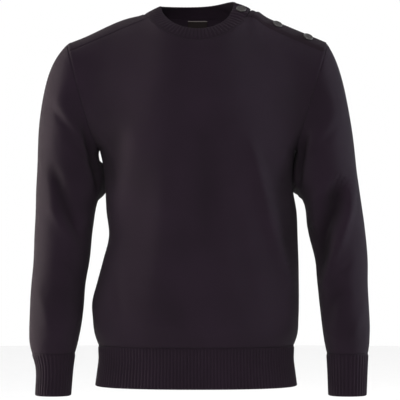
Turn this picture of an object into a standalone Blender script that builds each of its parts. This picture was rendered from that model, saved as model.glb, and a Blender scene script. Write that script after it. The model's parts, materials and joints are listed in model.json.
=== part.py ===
"""A button shoulder sweater, filled out as its wearer would fill it, in metres with +Z up.

The front faces -Y and the wearer's left is +X. The origin lies midway between the two points where the
neck meets the shoulders. Every knitted piece is a wall on both sides of a middle surface that is worked
out from the sizes below. Pieces that are sewn together share the points of their seam, so their edges
are mitred, and each is drawn back from the seam by half of the seam gap.
"""

import math

import bmesh
import bpy
import numpy as np
from mathutils import Vector

# Knitted cloth
WALL = 0.0025
RIB_WALL = 0.0020
RIB_HEIGHT = 0.0014
SEAM_GAP = 0.0003

# Heights of the seams and ends
HEM_SEAM = -0.6120
HEM_END = -0.6865
UNDERARM = -0.2500
SLEEVE_FREE = -0.3000
CUFF_SEAM = -0.6253
CUFF_END = -0.7030

# Neck: half width, reach to the front and back of the middle, and heights of three places on each ring
NECK_MIDDLE = -0.005
NECK_SEAM = {
    "half": 0.098, "front": 0.090, "back": 0.083,
    "low": -0.0544, "side": -0.003, "rear": -0.004, "rise": 2.0,
}
COLLAR_EDGE = {
    "half": 0.067, "front": 0.072, "back": 0.067,
    "low": -0.0323, "side": 0.013, "rear": 0.0170, "rise": 1.1,
}
COLLAR_STAND = 0.0090
COLLAR_STAND_ANGLE = 112.0
COLLAR_STAND_SPREAD = 40.0

# Rise of the buttoned shoulder beside the neck: its height, the middle and spread of a bell across and from
# front to back, and the heights between which it begins
LIFT = 0.0085
LIFT_ACROSS = (0.104, 0.015)
LIFT_DEEP = (-0.010, 0.060)
LIFT_FROM = -0.120
LIFT_FULL = -0.040

# Armholes: an upright oval whose plane leans outwards to the shoulder
ARMHOLE_BOTTOM = 0.180
ARMHOLE_TOP = 0.239
SHOULDER_END = -0.057
ARMHOLE_HALF = 0.062
ARMHOLE_SQUARE = 2.4
ARMHOLE_BEND = {-1: 0.75, 1: 1.0}
SHOULDER_SEAM = -0.040

# Body: height, reach to the wearer's right, left, front and back
BODY_SECTIONS = (
    ("height", "right", "left", "front", "back"),
    (-0.6120, 0.1815, 0.1765, 0.108, 0.094),
    (-0.5950, 0.1875, 0.1825, 0.115, 0.100),
    (-0.5590, 0.1915, 0.1855, 0.121, 0.104),
    (-0.5290, 0.1925, 0.1860, 0.123, 0.104),
    (-0.4995, 0.1850, 0.1860, 0.124, 0.102),
    (-0.4550, 0.1730, 0.1855, 0.124, 0.098),
    (-0.4110, 0.1625, 0.1840, 0.125, 0.095),
    (-0.3660, 0.1665, 0.1820, 0.126, 0.096),
    (-0.3220, 0.1695, 0.1750, 0.128, 0.101),
    (-0.2800, 0.1735, 0.1755, 0.131, 0.107),
    (-0.2500, 0.1800, 0.1800, 0.132, 0.111),
    (-0.2200, 0.1870, 0.1870, 0.131, 0.114),
)
BODY_SQUARE = 2.35

# Hem band: share of its height, and how far it stands out from the line of the hem seam
HEM_FLARE = (("share", "out"), (0.0, 0.0), (0.35, -0.0010), (1.0, 0.0055))
HEM_RIBS = 78

# How the columns of a panel arrive at its top edge: share of the half width, a direction with its reach, and
# the reach with which they leave the underarm row
FRONT_ENDS = (
    ("share", "x", "y", "z", "reach", "leave"),
    (0.00, 0.00, 0.55, 0.83, 0.9, 1.0),
    (0.43, -0.35, 0.62, 0.70, 0.8, 1.0),
    (1.00, 0.00, 0.74, 0.67, 0.9, 1.0),
)
BACK_ENDS = (
    ("share", "x", "y", "z", "reach", "leave"),
    (0.00, 0.00, -0.42, 0.90, 0.8, 0.90),
    (0.15, -0.20, -0.58, 0.78, 0.80, 0.80),
    (0.30, -0.50, -0.78, 0.32, 0.95, 0.74),
    (0.42, -0.66, -0.76, -0.16, 1.10, 0.68),
    (0.52, -0.42, -0.86, -0.44, 1.50, 0.62),
    (0.65, -0.15, -0.82, -0.58, 1.75, 0.66),
    (1.00, 0.00, -0.74, -0.67, 1.7, 0.80),
)

# Sleeves: height, then reach of the inner and outer edge from the middle plane, and of the front and back
SLEEVE_SECTIONS = {
    -1: (
        ("height", "inner", "outer", "fore", "aft"),
        (-0.3000, 0.1762, 0.2970, -0.060, 0.084),
        (-0.3120, 0.1768, 0.2978, -0.060, 0.084),
        (-0.3290, 0.1805, 0.2988, -0.060, 0.082),
        (-0.3515, 0.1880, 0.2995, -0.059, 0.078),
        (-0.3960, 0.1950, 0.3005, -0.059, 0.069),
        (-0.4550, 0.2010, 0.3020, -0.060, 0.058),
        (-0.4995, 0.2080, 0.3055, -0.062, 0.050),
        (-0.5440, 0.2120, 0.3080, -0.065, 0.042),
        (-0.5880, 0.2175, 0.3080, -0.069, 0.030),
        (-0.6130, 0.2230, 0.3060, -0.069, 0.018),
        (-0.6253, 0.2265, 0.3030, -0.067, 0.012),
    ),
    1: (
        ("height", "inner", "outer", "fore", "aft"),
        (-0.3000, 0.1800, 0.2955, -0.060, 0.084),
        (-0.3120, 0.1812, 0.2972, -0.060, 0.084),
        (-0.3290, 0.1900, 0.2992, -0.060, 0.082),
        (-0.3515, 0.1985, 0.3020, -0.059, 0.078),
        (-0.3960, 0.2035, 0.3080, -0.059, 0.069),
        (-0.4550, 0.2185, 0.3130, -0.060, 0.058),
        (-0.4995, 0.2225, 0.3135, -0.062, 0.050),
        (-0.5440, 0.2270, 0.3145, -0.065, 0.042),
        (-0.5880, 0.2320, 0.3155, -0.069, 0.030),
        (-0.6130, 0.2365, 0.3140, -0.069, 0.018),
        (-0.6253, 0.2390, 0.3120, -0.067, 0.012),
    ),
}
SLEEVE_SQUARE = 2.15

# How a sleeve leaves its armhole: angle from the underarm round the front, and a direction with its reach
SLEEVE_STARTS = (
    ("angle", "out", "y", "up", "reach"),
    (0, 0.80, 0.00, -0.60, 0.75),
    (60, 0.68, -0.12, -0.72, 0.85),
    (120, 0.70, -0.10, -0.70, 0.9),
    (180, 0.78, 0.00, -0.62, 0.9),
    (240, 0.70, 0.10, -0.70, 0.9),
    (300, 0.68, 0.12, -0.72, 0.85),
    (360, 0.80, 0.00, -0.60, 0.75),
)

# How far each sleeve swings out over the top of the arm, as a share of the table above
SLEEVE_SWING = {-1: 0.86, 1: 0.50}

# Cuffs: height, then the same reaches as the sleeves
CUFF_SECTIONS = {
    -1: (
        ("height", "inner", "outer", "fore", "aft"),
        (-0.6253, 0.2265, 0.3030, -0.067, 0.012),
        (-0.6430, 0.2290, 0.2970, -0.065, 0.006),
        (-0.7030, 0.2345, 0.2960, -0.063, 0.003),
    ),
    1: (
        ("height", "inner", "outer", "fore", "aft"),
        (-0.6253, 0.2390, 0.3120, -0.067, 0.012),
        (-0.6430, 0.2400, 0.3110, -0.065, 0.006),
        (-0.7030, 0.2425, 0.3085, -0.063, 0.003),
    ),
}
CUFF_RIBS = 36

# Folds of the panels: three points across and up, then the fold's width and its height, negative for a trough
FRONT_FOLDS = (
    ("x1", "z1", "x2", "z2", "x3", "z3", "width", "height"),
    (-0.108, -0.185, -0.124, -0.300, -0.160, -0.415, 0.020, 0.0070),
    (-0.145, -0.200, -0.150, -0.270, -0.158, -0.350, 0.018, -0.0080),
    (0.098, -0.225, 0.122, -0.345, 0.182, -0.560, 0.017, 0.0075),
    (0.150, -0.270, 0.162, -0.370, 0.180, -0.480, 0.020, -0.0060),
    (0.010, -0.150, 0.012, -0.320, 0.030, -0.470, 0.022, -0.0030),
    (-0.185, -0.520, -0.178, -0.560, -0.172, -0.600, 0.012, 0.0030),
    (0.168, -0.520, 0.169, -0.560, 0.166, -0.600, 0.012, 0.0035),
)
BACK_FOLDS = (
    ("x1", "z1", "x2", "z2", "x3", "z3", "width", "height"),
    (0.000, -0.120, -0.006, -0.300, 0.004, -0.450, 0.026, -0.0040),
    (-0.100, -0.170, -0.120, -0.300, -0.155, -0.430, 0.022, 0.0060),
    (0.104, -0.180, 0.128, -0.320, 0.160, -0.470, 0.022, 0.0060),
    (-0.060, -0.420, -0.020, -0.455, 0.050, -0.430, 0.018, -0.0040),
)

# Folds of the sleeves: three points as angle from the underarm round the front, and height
SLEEVE_FOLDS = {
    -1: (
        ("a1", "z1", "a2", "z2", "a3", "z3", "width", "height"),
        (150, -0.128, 75, -0.210, 25, -0.285, 0.016, 0.0060),
        (130, -0.285, 88, -0.350, 48, -0.425, 0.015, -0.0060),
        (20, -0.375, 60, -0.400, 95, -0.420, 0.014, 0.0030),
        (300, -0.330, 265, -0.400, 230, -0.440, 0.018, -0.0050),
        (320, -0.300, 280, -0.260, 220, -0.220, 0.020, 0.0050),
    ),
    1: (
        ("a1", "z1", "a2", "z2", "a3", "z3", "width", "height"),
        (150, -0.300, 82, -0.395, 30, -0.480, 0.018, -0.0090),
        (92, -0.495, 60, -0.530, 30, -0.575, 0.016, -0.0045),
        (150, -0.140, 95, -0.215, 40, -0.280, 0.020, 0.0040),
        (10, -0.380, 20, -0.400, 30, -0.425, 0.014, -0.0040),
        (300, -0.330, 262, -0.400, 225, -0.450, 0.018, -0.0055),
        (320, -0.300, 280, -0.260, 220, -0.220, 0.020, 0.0050),
    ),
}
SLEEVE_RADIUS = 0.055

# Steps of the grids
SHOULDER_STEPS = 8
NECK_STEPS = {"front": 6, "back": 8}
LOWER_STEPS = 14
UPPER_STEPS = {"front": 10, "back": 12}
SLEEVE_UPPER_STEPS = 7
SLEEVE_LOWER_STEPS = 13
COLLAR_SPLIT = 5
HEM_SPLIT = 4
CUFF_SPLIT = 3
FINE_STEPS = 120
TOP_CROWDING = 0.35
EVEN_COLUMNS = 161
EVEN_ROUNDS = 100
EVEN_FADE = 0.22
SLOPE_NUDGE = 0.002
FREE_EDGE = 0.035
SHARP_ANGLE = math.radians(30)
PANELS = ("front_panel", "back_panel")

# Mitres: the least lean of a wall to its seam, and how much further a sleeve is drawn back from its armhole
SHORTEST_LEAN = 0.25
ARMHOLE_DRAW = 1.9

# Collar opening on the wearer's left: the front end laps over the rear end
LAP_LIFT = 0.0030
LAP_START = 56.0
LAP_UNDER = 68.0
LAP_END = 87.0
COLLAR_RIB_SHARES = (0.1, 1.0, 0.8)

# Button band
BAND_WALL = 0.0022
BAND_CLEAR = 0.0009
BAND_WIDTH = 0.028
BAND_LAP = 0.004
BAND_NECK_SHARE = 0.05
BAND_ARM_SHARE = 0.985
BAND_STEPS = 12

# Buttons: radius, thickness, and where each one sits
BUTTON_RADIUS = 0.0095
BUTTON_HEIGHT = 0.0032
BUTTON_HOLE = 0.0009
BUTTON_HOLE_PITCH = 0.0021
BUTTON_SIDES = 20
COLLAR_BUTTON_ANGLE = 73.0
BAND_BUTTONS = {"button_inner": 0.345, "button_outer": 0.775}

# Neck label
LABEL_HALF = 0.0185
LABEL_TOP = 0.003
LABEL_LENGTH = 0.048
LABEL_WALL = 0.0008
LABEL_CLEAR = 0.0006

COLOURS = {
    "knit": (0.0165, 0.0120, 0.0185, 1.0),
    "rib": (0.0155, 0.0115, 0.0170, 1.0),
    "button": (0.055, 0.050, 0.048, 1.0),
    "label": (0.020, 0.016, 0.018, 1.0),
}


def columns(table):
    """The columns of a table by name."""
    names, *rows = table
    return dict(zip(names, np.array(rows, float).T))


def through(at, knots, values):
    """A cubic curve through the knots, whose slope at each is that of its neighbours."""
    slopes = np.gradient(values, knots)
    first = np.clip(np.searchsorted(knots, at) - 1, 0, len(knots) - 2)
    gap = knots[first + 1] - knots[first]
    u = (at - knots[first]) / gap
    return (
        (1 + 2 * u) * (1 - u) ** 2 * values[first]
        + u * (1 - u) ** 2 * gap * slopes[first]
        + u**2 * (3 - 2 * u) * values[first + 1]
        - u**2 * (1 - u) * gap * slopes[first + 1]
    )


def section(table, height):
    """Every column of a table of sections at one height or more."""
    found = columns(table)
    knots = found.pop("height")
    order = np.argsort(knots)
    return {name: through(height, knots[order], values[order]) for name, values in found.items()}


def unit(vectors):
    return vectors / np.linalg.norm(vectors, axis=-1, keepdims=True)


def smooth(share):
    """Eases from 0 to 1."""
    share = np.clip(share, 0.0, 1.0)
    return share * share * (3 - 2 * share)


def even(line, steps):
    """A line of points walked again in equal steps."""
    walked = np.concatenate([[0.0], np.cumsum(np.linalg.norm(np.diff(line, axis=0), axis=1))])
    at = np.linspace(0.0, walked[-1], steps + 1)
    return np.stack([np.interp(at, walked, line[:, axis]) for axis in range(line.shape[1])], axis=-1)


def bridge(start, leave, end, arrive, shares):
    """Cubic columns from a row of points to another, leaving and arriving along the given vectors."""
    t = shares[:, None, None]
    return (
        (1 + 2 * t) * (1 - t) ** 2 * start
        + t * (1 - t) ** 2 * leave
        + t**2 * (3 - 2 * t) * end
        - t**2 * (1 - t) * arrive
    )


def oval(angle, square):
    """Cosine and sine of an oval that is squarer than an ellipse where square is over 2."""
    cosine = np.cos(angle)
    sine = np.sin(angle)
    power = 2.0 / square
    return np.sign(cosine) * np.abs(cosine) ** power, np.sign(sine) * np.abs(sine) ** power


def neck_ring(ring, degrees):
    """Points of the neck seam or the collar's edge; 0 is the front and 90 the wearer's left."""
    angle = np.radians(degrees)
    forward = np.cos(angle)
    reach = np.where(forward > 0, ring["front"], ring["back"])
    level = np.where(forward > 0, ring["low"], ring["rear"])
    x = ring["half"] * np.sin(angle)
    y = NECK_MIDDLE - reach * forward
    z = ring["side"] + (level - ring["side"]) * np.abs(forward) ** ring["rise"]
    return np.stack([x, y, z], axis=-1)


def lifted(points):
    """The same points, raised where the buttoned shoulder rises beside the neck."""
    across = (points[..., 0] - LIFT_ACROSS[0]) / LIFT_ACROSS[1]
    deep = (points[..., 1] - LIFT_DEEP[0]) / LIFT_DEEP[1]
    begun = smooth((points[..., 2] - LIFT_FROM) / (LIFT_FULL - LIFT_FROM))
    moved = points.copy()
    moved[..., 2] += LIFT * np.exp(-across * across - deep * deep) * begun
    return moved


def collar_edge(degrees):
    """The collar's free edge, which stands higher where the two ends of the collar lap."""
    edge = neck_ring(COLLAR_EDGE, degrees)
    off = (np.mod(degrees - COLLAR_STAND_ANGLE + 180.0, 360.0) - 180.0) / COLLAR_STAND_SPREAD
    edge[..., 2] += COLLAR_STAND * np.exp(-off * off)
    return lifted(edge)


SEAM_ANGLE = math.degrees(math.acos((NECK_MIDDLE - SHOULDER_SEAM) / NECK_SEAM["front"]))


def armhole(side, start, end):
    """A fine line round an armhole from one angle to another; 0 is the underarm and 90 the front."""
    up, fore = oval(np.radians(np.linspace(start, end, 241)), ARMHOLE_SQUARE)
    share = (1 - up) / 2
    x = ARMHOLE_BOTTOM + (ARMHOLE_TOP - ARMHOLE_BOTTOM) * share ** ARMHOLE_BEND[side]
    y = -ARMHOLE_HALF * fore
    z = UNDERARM + (SHOULDER_END - UNDERARM) * share
    return np.stack([side * x, y, z], axis=-1)


def shoulder_angle():
    """The angle round the armhole at which the shoulder seam meets it."""
    _, fore = oval(np.radians(np.linspace(90.0, 180.0, 901)), ARMHOLE_SQUARE)
    return float(np.interp(-SHOULDER_SEAM / ARMHOLE_HALF, fore[::-1], np.linspace(180.0, 90.0, 901)))


def body_row(face, across, height):
    """One level row of the body; across runs from -1 at the wearer's right side to 1 at the left."""
    sizes = section(BODY_SECTIONS, np.array(height))
    row = np.zeros((len(across), 3))
    for side, name in ((-1, "right"), (1, "left")):
        depth, half = oval(np.radians(np.linspace(0.0, 90.0, 181)), BODY_SQUARE)
        quarter = np.stack([half * sizes[name], depth * sizes[face]], axis=-1)
        walked = np.concatenate([[0.0], np.cumsum(np.linalg.norm(np.diff(quarter, axis=0), axis=1))])
        mine = np.sign(across) == side
        share = np.abs(across[mine]) * walked[-1]
        row[mine, 0] = side * np.interp(share, walked, quarter[:, 0])
        row[mine, 1] = np.interp(share, walked, quarter[:, 1])
    row[np.sign(across) == 0, 1] = sizes[face]
    row[:, 1] *= -1 if face == "front" else 1
    row[:, 2] = height
    return row


def top_edge(face, across):
    """The top edge of a panel: the neck seam in the middle and a shoulder seam on each side."""
    neck = NECK_STEPS[face] / (NECK_STEPS[face] + SHOULDER_STEPS)
    share = np.abs(across) / neck
    if face == "front":
        degrees = share * SEAM_ANGLE
    else:
        degrees = 180.0 - share * (180.0 - SEAM_ANGLE)
    side = np.where(across < 0, -1.0, 1.0)
    edge = neck_ring(NECK_SEAM, side * degrees)
    corner = neck_ring(NECK_SEAM, side * SEAM_ANGLE)
    ends = {hand: armhole(hand, 0.0, shoulder_angle())[-1] for hand in (-1, 1)}
    arm = np.where(side[:, None] < 0, ends[-1], ends[1])
    along = np.clip((np.abs(across) - neck) / (1 - neck), 0.0, 1.0)[:, None]
    return np.where(share[:, None] <= 1 + 1e-9, edge, corner + (arm - corner) * along)


def free_columns(face, across, steps):
    """Columns from the underarm row to the top edge, before the armholes draw them in."""
    start = body_row(face, across, UNDERARM)
    above = body_row(face, across, UNDERARM + SLOPE_NUDGE)
    below = body_row(face, across, UNDERARM - SLOPE_NUDGE)
    leave = (above - below) / (2 * SLOPE_NUDGE)
    end = top_edge(face, across)
    chord = np.linalg.norm(end - start, axis=1, keepdims=True)
    ways = columns(FRONT_ENDS if face == "front" else BACK_ENDS)
    knots = ways.pop("share")
    found = {name: np.interp(np.abs(across), knots, values) for name, values in ways.items()}
    arrive = unit(np.stack([np.sign(across) * found["x"], found["y"], found["z"]], axis=-1))
    leave *= chord * found["leave"][:, None]
    shares = np.linspace(0.0, 1.0, steps + 1)
    shares *= 1 + TOP_CROWDING * (1 - shares)
    return bridge(start, leave, end, arrive * chord * found["reach"][:, None], shares)


def upper_panel(face, across, steps):
    """The part of a panel between the underarm row and its top edge, its columns evened out side by side."""
    even_shares = np.linspace(-1.0, 1.0, EVEN_COLUMNS)
    free = free_columns(face, even_shares, steps)
    up = np.linspace(0.0, 1.0, steps + 1)
    weight = (smooth(up / EVEN_FADE) * smooth((1 - up) / EVEN_FADE))[:, None, None] / 4
    for _ in range(EVEN_ROUNDS):
        free[:, 1:-1] += weight * (free[:, 2:] + free[:, :-2] - 2 * free[:, 1:-1])
    place = (across + 1) / 2 * (EVEN_COLUMNS - 1)
    left = np.minimum(place.astype(int), EVEN_COLUMNS - 2)
    between = (place - left)[None, :, None]
    grid = free[:, left] * (1 - between) + free[:, left + 1] * between
    grid[0] = body_row(face, across, UNDERARM)
    grid[-1] = top_edge(face, across)
    for side, column in ((-1.0, 0), (1.0, -1)):
        first = 0.0 if face == "front" else 360.0
        edge = even(armhole(int(side), first, shoulder_angle()), steps)
        pull = smooth((across * side - 0.5) / 0.5)
        grid = grid + (edge - free[:, column])[:, None, :] * pull[None, :, None]
    return lifted(grid)


def normals(grid, ring=False):
    """Outward unit vectors of a grid whose columns run to the left, seen from outside, as its rows run up."""
    if ring:
        along = np.roll(grid, -1, axis=1) - np.roll(grid, 1, axis=1)
    else:
        along = np.gradient(grid, axis=1)
    return unit(np.cross(along, np.gradient(grid, axis=0)))


def curve_points(row, names):
    """Points of the parabola that starts and ends at the first and third point and heads for the second."""
    t = np.linspace(0.0, 1.0, 33)[:, None]
    first, middle, last = (np.array([row[a], row[b]]) for a, b in names)
    return (1 - t) ** 2 * first + 2 * t * (1 - t) * middle + t**2 * last


def relief(flat, table, names):
    """How far the folds lift each point of a grid, from its flat coordinates."""
    found = columns(table)
    lift = np.zeros(flat.shape[:-1])
    for index in range(len(table) - 1):
        row = {name: values[index] for name, values in found.items()}
        line = curve_points(row, names)
        away = np.linalg.norm(flat[..., None, :] - line, axis=-1)
        nearest = away.argmin(axis=-1)
        along = nearest / (len(line) - 1)
        ends = smooth(along / 0.3) * smooth((1 - along) / 0.3)
        lift += row["height"] * ends * np.exp(-((away.min(axis=-1) / row["width"]) ** 2))
    return lift


def edge_ease(grid, sides=True):
    """1 inside a grid, easing to 0 at its edges, so that folds leave the seams where they are."""
    rows = np.linalg.norm(np.diff(grid, axis=0), axis=-1)
    walked = np.concatenate([np.zeros((1, grid.shape[1])), np.cumsum(rows, axis=0)])
    ease = smooth(walked / FREE_EDGE) * smooth((walked[-1] - walked) / FREE_EDGE)
    if sides:
        across = np.linalg.norm(np.diff(grid, axis=1), axis=-1)
        walked = np.concatenate([np.zeros((grid.shape[0], 1)), np.cumsum(across, axis=1)], axis=1)
        ease = ease * smooth(walked / FREE_EDGE) * smooth((walked[:, -1:] - walked) / FREE_EDGE)
    return ease


def panel(face):
    """The middle surface of the front or the back, rows from the hem seam up."""
    steps = NECK_STEPS[face] + SHOULDER_STEPS
    across = np.arange(-steps, steps + 1) / steps
    if face == "back":
        across = across[::-1]
    heights = np.linspace(HEM_SEAM, UNDERARM, LOWER_STEPS + 1)
    lower = np.stack([body_row(face, across, height) for height in heights])
    grid = np.concatenate([lower, upper_panel(face, across, UPPER_STEPS[face])[1:]])
    folds = FRONT_FOLDS if face == "front" else BACK_FOLDS
    lift = relief(grid[..., [0, 2]], folds, (("x1", "z1"), ("x2", "z2"), ("x3", "z3")))
    return grid + normals(grid) * (lift * edge_ease(grid))[..., None]


def tube_row(table, side, angles, height, square):
    """One level ring of a sleeve or cuff; angle 0 is next to the body and 90 the front."""
    sizes = section(table, np.array(height))
    inward, fore = oval(angles, square)
    middle = (sizes["inner"] + sizes["outer"]) / 2
    half = (sizes["outer"] - sizes["inner"]) / 2
    centre = (sizes["fore"] + sizes["aft"]) / 2
    depth = (sizes["aft"] - sizes["fore"]) / 2
    x = side * (middle - half * inward)
    y = centre - depth * fore
    return np.stack([x, y, np.full_like(x, height)], axis=-1)


def sleeve(side, hole):
    """The middle surface of a sleeve from its armhole's points down to the cuff seam."""
    closed = np.concatenate([hole, hole[:1]])
    walked = np.cumsum(np.linalg.norm(np.diff(closed, axis=0), axis=1))
    angles = 2 * math.pi * np.concatenate([[0.0], walked[:-1]]) / walked[-1]
    table = SLEEVE_SECTIONS[side]
    end = tube_row(table, side, angles, SLEEVE_FREE, SLEEVE_SQUARE)
    slope = (end - tube_row(table, side, angles, SLEEVE_FREE - SLOPE_NUDGE, SLEEVE_SQUARE)) / SLOPE_NUDGE
    chord = np.linalg.norm(end - hole, axis=1, keepdims=True)
    ways = columns(SLEEVE_STARTS)
    knots = ways.pop("angle")
    found = {name: np.interp(np.degrees(angles), knots, values) for name, values in ways.items()}
    swing = 1 + (SLEEVE_SWING[side] - 1) * np.sin(angles / 2) ** 2
    leave = unit(np.stack([side * found["out"] * swing, found["y"], found["up"]], axis=-1))
    shares = np.linspace(0.0, 1.0, SLEEVE_UPPER_STEPS + 1)
    upper = bridge(hole, leave * chord * found["reach"][:, None], end, -slope * chord, shares)
    heights = np.linspace(SLEEVE_FREE, CUFF_SEAM, SLEEVE_LOWER_STEPS + 1)[1:]
    lower = np.stack([tube_row(table, side, angles, height, SLEEVE_SQUARE) for height in heights])
    grid = np.concatenate([upper, lower])
    turned = np.broadcast_to(angles, grid.shape[:2])
    lift = np.zeros(grid.shape[:2])
    for turn in (-2 * math.pi, 0.0, 2 * math.pi):
        flat = np.stack([(turned + turn) * SLEEVE_RADIUS, grid[..., 2]], axis=-1)
        lift += relief(flat, in_metres(SLEEVE_FOLDS[side]), (("a1", "z1"), ("a2", "z2"), ("a3", "z3")))
    return grid - side * normals(grid, ring=True) * (lift * edge_ease(grid, sides=False))[..., None]


def in_metres(table):
    """A table of folds with its angles turned into lengths round the sleeve."""
    names, *rows = table
    scale = [SLEEVE_RADIUS * math.pi / 180 if name.startswith("a") else 1.0 for name in names]
    return (names, *[tuple(np.array(row) * scale) for row in rows])


def share_seams(middles, outwards):
    """Gives each seam point one outward vector in all the pieces that share it, long enough for the mitre."""
    names = list(middles)
    points = np.concatenate([middles[name].reshape(-1, 3) for name in names])
    vectors = np.concatenate([outwards[name].reshape(-1, 3) for name in names])
    panels = np.concatenate([np.full(len(middles[name].reshape(-1, 3)), name in PANELS) for name in names])
    _, index = np.unique(np.round(points * 1e5).astype(int), axis=0, return_inverse=True)
    index = index.reshape(-1)
    total = np.zeros((index.max() + 1, 3))
    for group in (panels, ~panels):
        share = np.zeros_like(total)
        np.add.at(share, index[group], vectors[group])
        length = np.linalg.norm(share, axis=1, keepdims=True)
        total += share / np.where(length > 0, length, 1.0)
    mean = unit(total)
    lean = np.zeros(len(mean))
    np.add.at(lean, index, (vectors * mean[index]).sum(axis=1))
    lean /= np.bincount(index)
    shared = (mean / np.clip(lean, SHORTEST_LEAN, 1.0)[:, None])[index]
    sizes = [middles[name].shape for name in names]
    ends = np.cumsum([rows * across for rows, across, _ in sizes])[:-1]
    return {name: part.reshape(size) for name, part, size in zip(names, np.split(shared, ends), sizes)}


def draw_back(grid, outward, *edges):
    """Draws edges of a grid back from their seams, square to each edge, further where a seam is mitred."""
    moved = grid.copy()
    reach = np.linalg.norm(outward, axis=-1, keepdims=True) * SEAM_GAP / 2
    for edge in edges:
        axis, place, inside = {
            "first_row": (0, 0, 1),
            "last_row": (0, -1, -2),
            "first_column": (1, 0, 1),
            "last_column": (1, -1, -2),
        }[edge]
        line = np.take(grid, place, axis=axis)
        along = unit(np.gradient(line, axis=0))
        way = np.take(grid, inside, axis=axis) - line
        way = unit(way - (way * along).sum(axis=1, keepdims=True) * along)
        if axis == 0:
            moved[place] += way * reach[place]
        else:
            moved[:, place] += way * reach[:, place]
    return moved


def rim(many, few):
    """Faces between two lines of points side by side, the first with a whole number of times the steps."""
    split = (len(many) - 1) // (len(few) - 1)
    near = (np.arange(len(many) - 1) + (split + 1) // 2) // split
    faces = [(many[at], many[at + 1], few[near[at]]) for at in range(len(many) - 1)]
    for at in range(1, len(few)):
        faces.append((many[split * at - (split + 1) // 2], few[at], few[at - 1]))
    return faces


def quads(ids):
    return np.stack([ids[:-1, :-1], ids[:-1, 1:], ids[1:, 1:], ids[1:, :-1]], axis=-1).reshape(-1, 4).tolist()


def wall(name, outer, inner, material, ring=False):
    """A closed wall between an outer and an inner skin with the same rows; the outer may have more columns."""
    rows = len(outer)
    out_ids = np.arange(rows * outer.shape[1]).reshape(rows, -1)
    in_ids = np.arange(rows * inner.shape[1]).reshape(rows, -1) + out_ids.size
    if ring:
        out_ids = np.hstack([out_ids, out_ids[:, :1]])
        in_ids = np.hstack([in_ids, in_ids[:, :1]])
    faces = quads(out_ids) + quads(in_ids[:, ::-1])
    faces += rim(out_ids[0], in_ids[0]) + rim(out_ids[-1][::-1], in_ids[-1][::-1])
    if not ring:
        for place in (0, -1):
            sides = np.stack([out_ids[:, place], in_ids[:, place]])
            faces += quads(sides)
    points = np.concatenate([outer.reshape(-1, 3), inner.reshape(-1, 3)])
    mesh = bpy.data.meshes.new(name)
    mesh.from_pydata(points.tolist(), [], faces)
    build = bmesh.new()
    build.from_mesh(mesh)
    bmesh.ops.recalc_face_normals(build, faces=build.faces)
    build.to_mesh(mesh)
    build.free()
    mesh.shade_smooth()
    mesh.set_sharp_from_angle(angle=SHARP_ANGLE)
    mesh.materials.append(material)
    return place_object(name, mesh)


def place_object(name, mesh):
    made = bpy.data.objects.new(name, mesh)
    GARMENT.objects.link(made)
    return made


def dyed(name, roughness):
    made = bpy.data.materials.new(name)
    made.use_nodes = True
    shader = made.node_tree.nodes["Principled BSDF"]
    shader.inputs["Base Color"].default_value = COLOURS[name]
    shader.inputs["Roughness"].default_value = roughness
    shader.inputs["Metallic"].default_value = 0.0
    return made


def plain_wall(name, middle, outward, ring=False):
    """A wall of plain knit, as thick on each side of its middle surface."""
    return wall(name, middle + outward * WALL / 2, middle - outward * WALL / 2, KNIT, ring)


def ribbed_wall(name, outer_middle, outer_out, inner_middle, inner_out, height, ring=False):
    """A ribbed wall: every second column of its outer skin is raised, and its inner skin is plain."""
    raised = RIB_WALL / 2 + height * (np.arange(outer_middle.shape[1]) % 2)
    outer = outer_middle + outer_out * raised[..., None]
    return wall(name, outer, inner_middle - inner_out * RIB_WALL / 2, RIB, ring)


def level(vectors):
    """The same vectors made level, for a seam that lies in a level plane."""
    flat = vectors.copy()
    flat[..., 2] = 0.0
    return unit(flat)


def hem_band(face):
    """Half of the ribbed hem, under the front or the back."""
    steps = HEM_RIBS * 2
    across = np.linspace(-1.0, 1.0, steps + 1)
    if face == "back":
        across = across[::-1]
    flare = columns(HEM_FLARE)
    line = body_row(face, across, HEM_SEAM)
    along = np.gradient(line, axis=0)
    away = unit(np.stack([along[:, 1], -along[:, 0], np.zeros(len(line))], axis=-1))
    away[[0, -1]] = [[np.sign(across[0]), 0, 0], [np.sign(across[-1]), 0, 0]]
    heights = HEM_SEAM + (HEM_END - HEM_SEAM) * flare["share"]
    rows = []
    for height, out in zip(heights, flare["out"]):
        row = line + away * out
        row[:, 2] = height
        rows.append(row)
    rows = np.stack(rows)
    outward = np.broadcast_to(away, rows.shape)
    middle = draw_back(rows, outward, "first_row", "first_column", "last_column")
    few = slice(None, None, HEM_SPLIT)
    ribbed_wall(f"hem_band_{face}", middle, outward, middle[:, few], outward[:, few], RIB_HEIGHT)


def cuff(side, name):
    """A ribbed cuff, a ring under the sleeve."""
    angles = np.linspace(0.0, 2 * math.pi, CUFF_RIBS * 2 + 1)[:-1]
    table = CUFF_SECTIONS[side]
    heights = sorted(columns(table)["height"], reverse=True)
    rings = np.stack([tube_row(table, side, angles, height, SLEEVE_SQUARE) for height in heights])
    outward = level(-side * normals(rings, ring=True))
    middle = draw_back(rings, outward, "first_row")
    few = slice(None, None, CUFF_SPLIT)
    ribbed_wall(name, middle, outward, middle[:, few], outward[:, few], RIB_HEIGHT, ring=True)


def neck_points(middles):
    """The neck seam's points from the front panel's middle round the wearer's left to the front again."""
    front = middles["front_panel"][-1]
    back = middles["back_panel"][-1]
    shoulder = SHOULDER_STEPS
    fore = front[shoulder:-shoulder]
    rear = back[shoulder:-shoulder]
    middle = NECK_STEPS["front"]
    return np.concatenate([fore[middle:-1], rear[:-1], fore[:middle]])


def neck_angles():
    """The angle of each of those points."""
    fore = np.linspace(0.0, SEAM_ANGLE, NECK_STEPS["front"] + 1)
    rear = np.linspace(SEAM_ANGLE, 360.0 - SEAM_ANGLE, 2 * NECK_STEPS["back"] + 1)
    return np.concatenate([fore[:-1], rear[:-1], 360.0 - fore[::-1][:-1]])


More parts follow.
